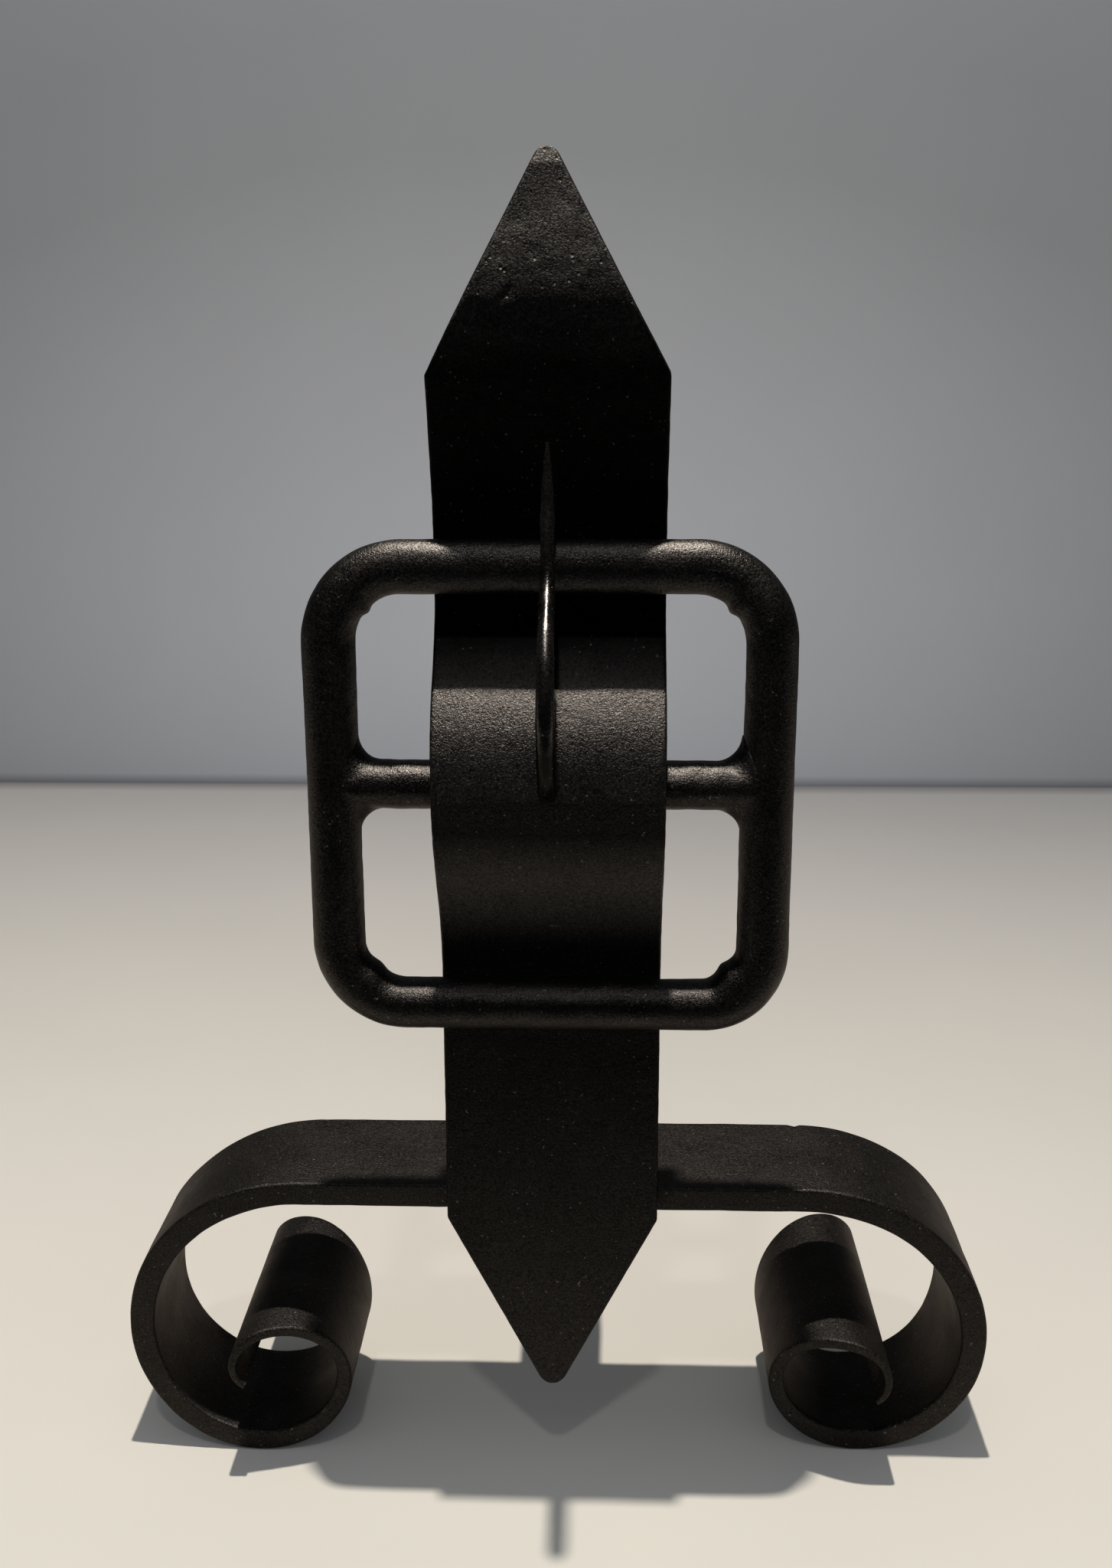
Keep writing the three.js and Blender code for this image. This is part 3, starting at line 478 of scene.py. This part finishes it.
CENTRE_BAR_ROWS, CENTRE_BAR_ROUND = 300, 64
INTO_SIDE_BAR = 1.5                             # its ends stop this far short of the side bars' axes
SIDE_BAR_RADIUS = 6.85                          # of those bars as hammered
FLARE_FRONT, FLARE_MORE = 1.4, 5.4              # flare at its front and back, and more above and below


def make_centre_bar():
    """A round bar along X, at each depth y as high as its circle allows, that flares in a quarter round
    of up to 6.8 mm onto the side bars' inner face at that depth and ends inside them."""
    half = side_x - INTO_SIDE_BAR
    x = np.linspace(-half, half, CENTRE_BAR_ROWS)[:, None]
    angle = np.linspace(0, 2 * math.pi, CENTRE_BAR_ROUND, endpoint=False)
    y = -CENTRE_RADIUS * np.cos(angle)
    tall = CENTRE_RADIUS * np.abs(np.sin(angle))
    fillet = FLARE_MORE * np.sin(angle) ** 2 + FLARE_FRONT
    meets = side_x - np.sqrt(SIDE_BAR_RADIUS ** 2 - y ** 2)
    into = np.clip((np.abs(x) - meets + fillet) / fillet, 0, 1)
    rough = hammered(x, CENTRE_RADIUS * angle, (0.12, 8, 41)) - 0.06
    flare = fillet * (1 - np.sqrt(np.maximum(1 - into ** 2, 0))) * (1 + 0.6 * rough)
    height = tall * (1 + rough / CENTRE_RADIUS) + flare
    depth = y * (1 + rough / CENTRE_RADIUS)
    points = np.stack([x + 0 * y, depth, height * np.sign(np.sin(angle))], -1)
    return skin("centre_bar_forged", lean_back(points))


# ------------------------------------------------------------------ cross bar
SCROLL_TURNS = [0, 45, 90, 180, 270, 360, 430, 510]
SCROLL_THICKNESS = [(0, CROSS_BAR_THICKNESS), (90, CROSS_BAR_THICKNESS), (180, FOOT_THICKNESS),
                    (270, CURL_THICKNESS), (430, LIP_THICKNESS), (510, EDGE_THICKNESS)]
scrolls = [
    {"side": -1, "start": 73.9, "radii": [54.5, 48, 42.2, 30.1, 21.5, 16.6, 8.6, 6],
     "front": [0, 0, 0, 2.9, 2.6, 10, 13, 13.4], "back": [0, -4, -3, -2.5, 1.2, 10.5, 13.6, 14]},
    {"side": 1, "start": 72.2, "radii": [59, 49.5, 41.9, 27.6, 22, 15.2, 11.6, 5],
     "front": [0, 0, 0, -2, 0.3, 10.6, 11.6, 11.8], "back": [0, 1.7, 1.5, 2, 6.5, 17, 21.5, 22]},
]
scroll_drop = CROSS_BAR_TOP - (CROSS_BAR_THICKNESS + FOOT_THICKNESS) / 2
cross_bar_middle = CROSS_BAR_TOP - CROSS_BAR_THICKNESS / 2
CROSS_BAR_STEP, CROSS_BAR_ACROSS = 1.5, 34      # length of a row, and points across a face
CROSS_BAR_EDGE, FACE_SUNK = 0.9, 0.16           # rounding of its edges, and how far its faces dish
NICK_X, NICK_RUN, NICK_DEPTH = 73.5, 1.1, 1.0   # in the back edge of its upper face


def scroll_rows(scroll):
    """One rolled end: the centre line is the sum of its small steps, each the bend radius there times
    the turn, scaled so that the half turn lands on the floor; the strip is set square to it."""
    last = SCROLL_TURNS[-1]
    turn = np.linspace(0, last, 2 * last + 1)
    middle = (turn[1:] + turn[:-1]) / 2
    length = np.exp(np.interp(middle, SCROLL_TURNS, np.log(scroll["radii"]))) * np.radians(turn[1] - turn[0])
    out = np.concatenate([[0], np.cumsum(length * np.cos(np.radians(middle)))])
    down = np.concatenate([[0], np.cumsum(length * np.sin(np.radians(middle)))])
    scale = scroll_drop / np.interp(180, turn, down)
    spaced = np.concatenate([np.arange(0, 300, 1.5), np.arange(300, last, 2.5), [last]])
    out, down = (np.interp(spaced, turn, a) * scale for a in (out, down))
    half = np.interp(spaced, *zip(*SCROLL_THICKNESS)) / 2
    front = -smooth_through(list(zip(SCROLL_TURNS, scroll["front"])), spaced)
    back = CROSS_BAR_DEPTH + smooth_through(list(zip(SCROLL_TURNS, scroll["back"])), spaced)
    angle = np.radians(spaced)
    normal = np.stack([scroll["side"] * np.sin(angle), 0 * angle, np.cos(angle)], 1)
    centres = np.stack([scroll["side"] * (scroll["start"] + out), 0 * out, cross_bar_middle - down], 1)
    return centres, normal, half, front, back


def make_cross_bar():
    """A flat bar, rolled up at both ends, with hammer waves on its faces and slightly uneven edges."""
    left, right = (scroll_rows(s) for s in scrolls)
    x = np.arange(-scrolls[0]["start"] + 1.5, scrolls[1]["start"] - 0.5, CROSS_BAR_STEP)
    straight = (
        np.stack([x, 0 * x, 0 * x + cross_bar_middle], 1), every_row((0, 0, 1), x),
        np.full_like(x, CROSS_BAR_THICKNESS / 2), 0 * x, 0 * x + CROSS_BAR_DEPTH,
    )
    centres, normal, half, front, back = (
        np.concatenate([a[::-1], b, c]) for a, b, c in zip(left, straight, right)
    )
    way = way_along(centres)
    front = front + hammered(way, 0 * way, (0.12, 24, 51), (0.05, 6, 52), lift=1)
    nick = NICK_DEPTH * np.exp(-((centres[:, 0] - NICK_X) / NICK_RUN) ** 2) * (normal[:, 2] > 0.9)
    back = back - nick - hammered(way, 0 * way, (0.15, 20, 53), (0.05, 6, 54), lift=1)
    edge = np.minimum(CROSS_BAR_EDGE, half * 0.62)
    outline = rounded_rectangle(front, back, -half, half, edge, CROSS_BAR_ACROSS, along=2)
    middle = np.clip(1.4 * np.abs(outline[..., 1]) / half[:, None] - 0.4, 0, 1)
    off = hammered(way[:, None], outline[..., 0], (0.12, 24, 55), (0.035, 7, 56))
    thin = np.minimum(half / 3, 1)[:, None]
    outline[..., 1] -= np.sign(outline[..., 1]) * middle * (FACE_SUNK + off) * thin
    return skin("cross_bar_forged", carry(outline, centres, every_row((0, 1, 0), centres), normal))


# ------------------------------------------------------------------ log bar
LOG_BAR_STEP, LOG_BAR_EDGE = 2.5, 1.9           # length of a row, and rounding of its edges
FLAT_FOOT = 6.0                                 # below this height the hammer waves die out


def make_log_bar():
    """A square bar with softened edges that runs back, bends over in a quarter circle and ends in the
    rear leg; its front end follows the strap's back, its foot is hammered in and stays flat."""
    level = CROSS_BAR_TOP + SEAT_GAP + LOG_BAR / 2
    leg_y = LOG_BAR_REACH - LOG_BAR / 2
    bend_y, bend_z = leg_y - LOG_BAR_BEND, level - LOG_BAR_BEND
    y = np.arange(3, bend_y, LOG_BAR_STEP)
    angle = np.linspace(0, math.pi / 2, 31)
    back, rise = LOG_BAR_BEND * np.sin(angle), LOG_BAR_BEND * np.cos(angle)
    z = np.concatenate([np.arange(bend_z - LOG_BAR_STEP, 5, -LOG_BAR_STEP), [REAR_FOOT_TAPER_RUN, 2.2, 0]])
    centres = np.concatenate([
        np.stack([0 * y, y, 0 * y + level], 1),
        np.stack([0 * angle, bend_y + back, bend_z + rise], 1),
        np.stack([0 * z, 0 * z + leg_y, z], 1),
    ])
    tilt = np.concatenate([0 * y, angle, 0 * z + math.pi / 2])
    upward = np.stack([0 * tilt, np.sin(tilt), np.cos(tilt)], 1)
    foot = np.interp(z, [0, REAR_FOOT_TAPER_RUN], [REAR_FOOT_TAPER, 0])
    half = LOG_BAR / 2 - np.concatenate([0 * y, 0 * angle, foot])
    outline = rounded_rectangle(-half, half, -half, half, LOG_BAR_EDGE, 16, along=12, corner=4)
    size = np.abs(outline).max(-1, keepdims=True)
    way = way_along(centres)[:, None]
    ease = 0.16 + hammered(way, outline[..., 0] * 2 + outline[..., 1], (0.15, 26, 61))
    fade = np.clip(centres[:, 2] / FLAT_FOOT, 0, 1)[:, None, None]
    outline = outline * (1 - np.maximum(ease, 0)[..., None] / size * fade)
    rows = carry(outline, centres, every_row((1, 0, 0), centres), upward)
    rows[0, :, 1] = strap_back(rows[0, :, 2]) + SEAT_GAP
    return skin("log_bar_forged", rows)


# ------------------------------------------------------------------ welds
WELD_STEP, WELD_RIPPLE, WELD_LAG = 0.22, 1.7, 1.5
WELD_CREST, WELD_START_RUN, WELD_START = 0.34, 3.0, 0.35


def bead(name, start, end, wall_a, wall_b):
    """A fillet bead between two walls: across it a quarter round, along it overlapping crescents, each
    a ripple of 1.7 mm whose crest bends back in the middle, with a rounded start and end."""
    start, end, wall_a, wall_b = (np.array(v, float) for v in (start, end, wall_a, wall_b))
    length = np.linalg.norm(end - start)
    at = np.linspace(0, length, int(length / WELD_STEP))
    turn = np.linspace(0, math.pi / 2, 15)
    phase = ((at[:, None] + WELD_LAG * np.sin(2 * turn) ** 2) / WELD_RIPPLE) % 1
    crest = WELD_CREST * (1 - phase) ** 0.7 * np.sin(2 * turn) ** 0.6
    end_share = np.clip(np.minimum(at, length - at) / WELD_START_RUN, 0, 1)[:, None]
    swell = WELD_START + (1 - WELD_START) * np.sqrt(np.maximum(1 - (1 - end_share) ** 2, 0))
    wander = 1 + hammered(at, 0 * at, (0.04, 7, len(name)))[:, None]
    reach = (WELD_LEG * (0.9 - 0.12 * np.sin(2 * turn)) + crest - 0.3) * swell * wander
    face = np.stack([reach * np.cos(turn), reach * np.sin(turn)], -1)
    outline = np.concatenate([np.zeros((len(at), 1, 2)), face], 1)
    centres = start + (end - start) * (at / length)[:, None]
    return skin(name, carry(outline, centres, every_row(wall_a, at), every_row(wall_b, at)))


def against_strap(x, z):
    return (x, float(strap_back(np.array(z))), z)


def unit_up(z):
    """Direction up the strap's back at that height."""
    slope = float(strap_slope(np.array(z)))
    return np.array([0, slope, 1]) / math.hypot(1, slope)


def make_welds(material):
    """The seven beads that hold strap, cross bar and log bar together, each in place of its CAD node."""
    half, top = LOG_BAR / 2, CROSS_BAR_TOP + SEAT_GAP + LOG_BAR
    inset = LOG_BAR_BEVEL + WELD_MARGIN / 2
    up, back = (0, 0, 1), (0, 1, 0)
    for word, side in (("left", -1), ("right", 1)):
        out = (side, 0, 0)
        beads = {
            "log_bar_weld_": ((side * half, 8, CROSS_BAR_TOP), (side * half, 35, CROSS_BAR_TOP), out, up),
            "strap_side_weld_": (against_strap(side * half, CROSS_BAR_TOP + 8),
                                 against_strap(side * half, top - inset), out, back),
            "cross_bar_weld_": (against_strap(side * (half + 3), CROSS_BAR_TOP),
                                against_strap(side * 27, CROSS_BAR_TOP), back, unit_up(CROSS_BAR_TOP + 5)),
        }
        for node, place in beads.items():
            finish_piece(bead(node + word + "_bead", *place), material, "weld_iron", node + word)
    place = (against_strap(-half + inset, top), against_strap(half - inset, top), back, unit_up(top + 5))
    finish_piece(bead("strap_top_weld_bead", *place), material, "weld_iron", "strap_top_weld")


# ------------------------------------------------------------------ shader maths
class Value:
    """A socket of a finish: arithmetic on a number adds Math nodes."""

    def __init__(self, finish, socket):
        self.finish, self.socket = finish, socket

    def math(self, operation, *values, clamp=False):
        settings = {"operation": operation, "use_clamp": clamp}
        return self.finish.node("Math", settings, dict(enumerate(values)))

    def __add__(self, other):
        return self.math("ADD", self, other)

    __radd__ = __add__

    def __mul__(self, other):
        return self.math("MULTIPLY", self, other)

    __rmul__ = __mul__

    def __sub__(self, other):
        return self.math("SUBTRACT", self, other)

    def __rsub__(self, other):
        return self.math("SUBTRACT", other, self)

    def __pow__(self, other):
        return self.math("POWER", self, other)

    def or_more(self, other):
        return self.math("MAXIMUM", self, other)

    def between(self, low, high):
        """0 below low, 1 above high, a straight ramp between."""
        return self.math("MULTIPLY", self - low, 1 / (high - low), clamp=True)


class Finish:
    """The node tree of a material or the world."""

    def __init__(self, owner):
        self.owner = owner
        owner.use_nodes = True
        self.tree = owner.node_tree
        self.tree.nodes.clear()

    def node(self, kind, settings=None, sockets=None, output=0):
        """Any node: its type, its settings, the values or links of its sockets, and which output."""
        made = self.tree.nodes.new("ShaderNode" + kind)
        for key, value in (settings or {}).items():
            if key == "stops":
                set_stops(made.color_ramp, value)
            else:
                setattr(made, key, value)
        for key, value in (sockets or {}).items():
            if isinstance(value, Value):
                self.tree.links.new(value.socket, made.inputs[key])
            else:
                made.inputs[key].default_value = value
        return Value(self, made.outputs[output]) if made.outputs else None

    def noise(self, where, scale, detail=2.0, roughness=0.5, distortion=0.0):
        return self.node("TexNoise", {}, {"Vector": where, "Scale": scale, "Detail": detail,
                                          "Roughness": roughness, "Distortion": distortion})

    def ramp(self, share, stops):
        return self.node("ValToRGB", {"stops": stops}, {"Fac": share})

    def blend(self, share, first, second, kind="MIX"):
        """From the first colour to the second, by number: a Mix node's colour sockets share names."""
        settings = {"data_type": "RGBA", "blend_type": kind}
        return self.node("Mix", settings, {0: share, 6: first, 7: second}, output=2)


def set_stops(ramp, stops):
    """Places the stops (position, colour) on a colour ramp."""
    while len(ramp.elements) < len(stops):
        ramp.elements.new(1)
    for element, (position, colour) in zip(ramp.elements, stops):
        element.position = position
        element.color = (*colour, 1)


# ------------------------------------------------------------------ iron finishes
RUST, RUBBED, DUST = (0.02, 0.011, 0.007, 1), (0.045, 0.041, 0.037, 1), (0.07, 0.066, 0.06, 1)
WAX_TINT, WAX_IOR, WAX_LEVEL = (1.0, 0.9, 0.83, 1), 1.9, 0.8
PIT_DEPTH, CROWD_EDGE = 0.00016, 0.006          # metres: of a scale pit, and how fast they crowd
FINER_FROM, FINER_AT, FINER_BY = 0.29, 0.31, 0.45   # the grain weakens between these heights, in metres
SHINE_SPAN = 0.4                                # height that a shine's stops share, in metres
NOWHERE = (9, 10)                               # heights above every piece


def iron(name, dark, light, rough, grain, streak, shine, pitted=NOWHERE):
    """Blackened iron: mottled from dark to light, with a sparkling grain, fine scale pits and brush
    streaks along the piece in its bump, specks of dust and rust, uneven roughness and edges rubbed
    brighter. Shine goes by height, in stops of metres and amount: it takes the dull, nearly black
    metal over to a warm waxed gloss. Between the heights pitted, in metres, the scale pits crowd."""
    made = Finish(bpy.data.materials.new(name))
    place = made.node("TexCoord", output="Object")
    way = made.node("UVMap", {"uv_map": "way"})
    stretched = made.node("Mapping", {}, {"Vector": way, "Scale": (0.12, 1.0, 1.0)})
    level = made.node("SeparateXYZ", {}, {0: place}, output="Z")
    cloud = made.noise(place, 55, 4, 0.6)
    mottle = made.noise(place, 320, 5, 0.65, 0.3)
    sand = made.noise(place, 1600, 3, 0.7)
    speck = made.noise(place, 2600, 1, 0.5)
    brush = made.noise(stretched, 900, 3, 0.6)

    low, high = pitted
    crowd = level.between(low, low + CROWD_EDGE) * (1 - level.between(high - CROWD_EDGE, high))
    sparse = made.noise(place, 90, 2, 0.5)
    sparse = sparse.between(0.55, 0.72).or_more(sparse.between(0.3, 0.45) * crowd)
    pits = made.node("TexVoronoi", {}, {"Vector": place, "Scale": 420.0, "Randomness": 1.0})
    pit = (1 - pits.between(0.05, 0.24)) * sparse

    tone = (cloud * 0.45 + mottle * 0.35 + sand * 0.2).between(0.36, 0.64)
    rust = made.noise(place, 140, 4, 0.7, 0.6).between(0.62, 0.74) * 0.5
    edge = made.node("NewGeometry", output="Pointiness").between(0.53, 0.62) * mottle.between(0.35, 0.6)
    dust = made.noise(place, 1100, 1, 0.4).between(0.735, 0.775)
    colour = made.ramp(tone, [(0, dark), (1, light)])
    for amount, over in ((rust, RUST), (edge, RUBBED), (dust, DUST)):
        colour = made.blend(amount, colour, over)

    worn = made.noise(place, 75, 3, 0.55).between(0.35, 0.68)
    roughness = rough - worn * 0.1 + (sand - 0.5) * 0.3 - edge * 0.08
    depth = grain - level.between(FINER_FROM, FINER_AT) * (grain * FINER_BY)
    height = (sand * 0.9 + speck * 0.7 + mottle * 0.8) * depth + brush * streak - pit * PIT_DEPTH
    bump = made.node("Bump", {}, {"Strength": 1.0, "Distance": 1.0, "Height": height})
    stops = [(z / SHINE_SPAN, (amount, amount, amount)) for z, amount in shine]
    gloss = made.ramp(level * (1 / SHINE_SPAN), stops) * (0.5 + sand.between(0.38, 0.62)) + dust * 0.5
    shader = made.node("BsdfPrincipled", {}, {
        "Base Color": colour, "Metallic": 1 - gloss, "Roughness": roughness, "Normal": bump,
        "IOR": WAX_IOR, "Specular IOR Level": WAX_LEVEL, "Specular Tint": WAX_TINT,
    })
    made.node("OutputMaterial", {}, {"Surface": shader})
    return made.owner


# The strap is glossiest on both flanks of its bulge and on the upper point.
strap_shine = [
    (0, 0.29), (0.12, 0.12), (0.15, 0.11), (0.164, 0.28), (0.178, 0.5), (0.188, 0.5), (0.203, 0.1),
    (0.214, 0.3), (0.222, 0.4), (0.232, 0.52), (0.2385, 0.57), (0.2415, 0.27), (0.25, 0.05),
    (0.26, 0.03), (0.285, 0.05), (0.318, 0.07), (0.33, 0.42), (0.345, 0.5), (SHINE_SPAN, 0.55),
]
buckle_shine = [(0, 0.26), (0.16, 0.26), (0.2135, 0.3), (0.262, 0.39), (SHINE_SPAN, 0.39)]
tongue_shine = [
    (0, 0.05), (0.228, 0.05), (0.243, 0.9), (0.256, 0.9), (0.263, 0.3), (0.28, 1), (SHINE_SPAN, 1),
]
bar_shine, weld_shine = ([(0, amount), (SHINE_SPAN, amount)] for amount in (0.2, 0.25))

SOOT, SCALE = (0.002, 0.0019, 0.0018), (0.003, 0.0028, 0.0026)
blackened = iron("blackened_iron", dark=SOOT, light=(0.0075, 0.0068, 0.0062), rough=0.48,
                 grain=0.00025, streak=0.00005, shine=strap_shine, pitted=(0.326, 0.349))
barred = iron("cross_bar_iron", dark=SCALE, light=(0.011, 0.0099, 0.0089), rough=0.52,
              grain=0.0002, streak=0.00006, shine=bar_shine)
rubbed = iron("rubbed_iron", dark=SOOT, light=(0.0075, 0.0068, 0.006), rough=0.4,
              grain=0.00016, streak=0.00003, shine=buckle_shine)
tongue_iron = iron("tongue_iron", dark=SOOT, light=(0.0075, 0.0065, 0.0056), rough=0.3,
                   grain=0.00005, streak=0.00003, shine=tongue_shine)
weld_finish = iron("weld_iron", dark=SCALE, light=(0.012, 0.0109, 0.0099), rough=0.46,
                   grain=0.0001, streak=0.0, shine=weld_shine)

finish_piece(make_strap(), blackened, "blackened_iron", "strap")
finish_piece(make_cross_bar(), barred, "blackened_iron", "cross_bar")
finish_piece(make_log_bar(), barred, "blackened_iron", "log_bar")
finish_piece(make_tongue(), tongue_iron, "rubbed_iron", "buckle_tongue")
finish_piece(make_frame(), rubbed, "rubbed_iron", "buckle_frame")
finish_piece(make_centre_bar(), rubbed, "rubbed_iron", "buckle_centre_bar")
make_welds(weld_finish)

# ------------------------------------------------------------------ floor and backdrop, in metres
BACKDROP_Y, STAGE_HALF, STAGE_HEIGHT = 0.543, 4.0, 3.0
FLOOR_CREASE_SHADOW, WALL_CREASE_SHADOW = 0.022, 0.008        # how far each face carries painted shadow where the two meet
FLOOR_DIM, WALL_DIM = 0.36, 0.75                # share that reflections lose
# The first is the tint of the painted shadow along the crease; the second is what all but the camera see of
# the floor far in front.
CREASE_SHADOW_TINT, UNSEEN = (0.5, 0.5, 0.52, 1), (0, 0.006, 0.014, 1)
# Painted light: the floor is palest in front and darkens towards the backdrop and a little to the right, a
# lamp's falloff painted into its colour.
floor_painted_falloff_stops = [
    (0, (0.51, 0.485, 0.434)), (0.2, (0.485, 0.457, 0.414)), (0.42, (0.432, 0.411, 0.375)),
    (0.68, (0.366, 0.347, 0.329)), (1, (0.262, 0.256, 0.253)),
]
# Painted light: the backdrop is palest in a pool low near the middle and darkens outward, a lamp's pool of
# light painted into its colour.
wall_painted_pool_stops = [
    (0, (0.383, 0.391, 0.417)), (0.3, (0.321, 0.329, 0.35)), (0.55, (0.258, 0.264, 0.278)),
    (0.82, (0.184, 0.19, 0.199)), (1, (0.168, 0.175, 0.185)),
]


def floor_shares(x, y, z):
    """Share of the way back, along which the painted light falls off; way from the painted crease
    shadow; and what reflections and bounces see: nothing of the floor that lies far in front of the andiron."""
    back, crease = (y + x * 0.1).between(-0.2, BACKDROP_Y), (BACKDROP_Y - y).between(0, FLOOR_CREASE_SHADOW)
    return back, crease, y.between(-0.44, -0.26)


def wall_shares(x, y, z):
    """Share of the way out from the palest spot of the painted pool of light, way from the painted crease
    shadow, and all of it seen.
    """
    # distance from the palest spot of the painted pool of light
    out = ((x * 0.75 + 0.035) ** 2 + (z * 1.36 - 0.13) ** 2) ** 0.5
    return out * (1 / 0.6), z.between(0, WALL_CREASE_SHADOW), 1


def stage_face(name, points, stops, shares, dim):
    """A stage face coloured by the stops of a share that shares() works out from the place, which paints
    the lamp's light falling off over it, with a faint mottle and a painted shadow along the crease.
    Seen from behind it is clear; reflections see it dimmed by that much, and all but the camera see it
    nearly black where shares() says so."""
    mesh = bpy.data.meshes.new(name)
    mesh.from_pydata(points, [], [(0, 1, 2, 3)])
    piece = into_scene(name, mesh)
    made = Finish(bpy.data.materials.new(name))
    place = made.node("TexCoord", output="Object")
    share, crease, ahead = shares(*(made.node("SeparateXYZ", {}, {0: place}, output=axis) for axis in "XYZ"))
    # Painted light: the ramp darkens the face away from where the lamp falls brightest.
    colour = made.ramp(share, stops)
    faint = made.noise(place, 9, 4, 0.6).between(0.2, 0.8)
    colour = made.blend(0.05, colour, made.ramp(faint, [(0, (0.2, 0.2, 0.2)), (1, (1, 1, 1))]), "MULTIPLY")
    # Painted shadow: darker along the crease where floor and backdrop meet.
    colour = made.blend(crease, made.blend(1.0, colour, CREASE_SHADOW_TINT, "MULTIPLY"), colour)
    seen = made.node("LightPath", output="Is Camera Ray")
    kept = (1 - made.node("LightPath", output="Is Glossy Ray") * dim) * ahead
    colour = made.blend(seen.or_more(kept), UNSEEN, colour)
    matt = {"Base Color": colour, "Roughness": 0.75, "Specular IOR Level": 0.2}
    face, clear = made.node("BsdfPrincipled", {}, matt), made.node("BsdfTransparent")
    behind = made.node("NewGeometry", output="Backfacing")
    made.node("OutputMaterial", {}, {"Surface": made.node("MixShader", {}, {0: behind, 1: face, 2: clear})})
    mesh.materials.append(made.owner)


left, right, near = -STAGE_HALF, STAGE_HALF, -STAGE_HALF
floor_points = [(left, near, 0), (right, near, 0), (right, BACKDROP_Y, 0), (left, BACKDROP_Y, 0)]
wall_points = [(left, BACKDROP_Y, 0), (right, BACKDROP_Y, 0),
               (right, BACKDROP_Y, STAGE_HEIGHT), (left, BACKDROP_Y, STAGE_HEIGHT)]
stage_face("floor", floor_points, floor_painted_falloff_stops, floor_shares, FLOOR_DIM)
stage_face("backdrop", wall_points, wall_painted_pool_stops, wall_shares, WALL_DIM)


# ------------------------------------------------------------------ lamps and world
def lamp(name, place, aim, energy, colour, size):
    """A round area lamp at a place, turned to shine at a point."""
    light = bpy.data.lights.new(name, "AREA")
    light.shape, light.size, light.energy, light.color = "DISK", size, energy, colour
    holder = into_scene(name, light)
    holder.location = place
    holder.rotation_mode = "QUATERNION"
    holder.rotation_quaternion = (Vector(aim) - Vector(place)).to_track_quat("-Z", "Y")


lamp("overhead_lamp", place=(-0.011, -0.168, 1.5), aim=(0.0, -0.168, 0.0),
     energy=26, colour=(1.0, 0.95, 0.87), size=0.03)
lamp("front_lamp", place=(-0.06, -1.25, 2.2), aim=(0.0, -0.1, 0.15),
     energy=6.0, colour=(0.93, 0.96, 1.0), size=0.12)


def light_world(name):
    """Soft light from all round, next to none of it in reflections, and grey where it is seen."""
    made = Finish(bpy.data.worlds.new(name))
    bpy.context.scene.world = made.owner

    def glow(strength, colour):
        return made.node("Background", {}, {"Color": (*colour, 1), "Strength": strength})

    around = glow(0.47, (0.85, 0.93, 1.04))
    dark = glow(0.004, (0.86, 0.94, 1.0))
    shown = glow(1.0, (0.2, 0.2, 0.21))
    seen, glossy = (made.node("LightPath", output=ray) for ray in ("Is Camera Ray", "Is Glossy Ray"))
    unseen = made.node("MixShader", {}, {0: glossy, 1: around, 2: dark})
    made.node("OutputWorld", {}, {"Surface": made.node("MixShader", {}, {0: seen, 1: unseen, 2: shown})})


light_world("studio")

# ------------------------------------------------------------------ camera, where the photograph was taken
CAMERA_PLACE = (0.0136, -0.3683 + FACE_Y * MM, 0.321)
CAMERA_TILT, CAMERA_TURN, CAMERA_ROLL = (math.radians(a) for a in (16.47, 1.88, 0.25))
FOCAL_PIXELS, PICTURE_HEIGHT, SENSOR, NEAREST = 1900, 2048, 36.0, 0.01


def place_camera():
    """Looks back along +Y, turned to the left, tilted down and rolled."""
    right = Vector((math.cos(CAMERA_TURN), math.sin(CAMERA_TURN), 0))
    level = Vector((-math.sin(CAMERA_TURN), math.cos(CAMERA_TURN), 0))
    ahead = level * math.cos(CAMERA_TILT) - Vector((0, 0, math.sin(CAMERA_TILT)))
    down = Vector((0, 0, -math.cos(CAMERA_TILT))) - level * math.sin(CAMERA_TILT)
    axis_x = right * math.cos(CAMERA_ROLL) + down * math.sin(CAMERA_ROLL)
    axis_y = right * math.sin(CAMERA_ROLL) - down * math.cos(CAMERA_ROLL)
    camera = into_scene("camera", bpy.data.cameras.new("camera"))
    turn = Matrix((axis_x, axis_y, -ahead)).transposed()
    camera.matrix_world = Matrix.Translation(CAMERA_PLACE) @ turn.to_4x4()
    camera.data.sensor_width = SENSOR
    camera.data.lens = FOCAL_PIXELS / PICTURE_HEIGHT * SENSOR
    camera.data.clip_start = NEAREST
    bpy.context.scene.camera = camera


place_camera()
bpy.context.scene.view_settings.view_transform = "Standard"

bpy.context.view_layer.update()
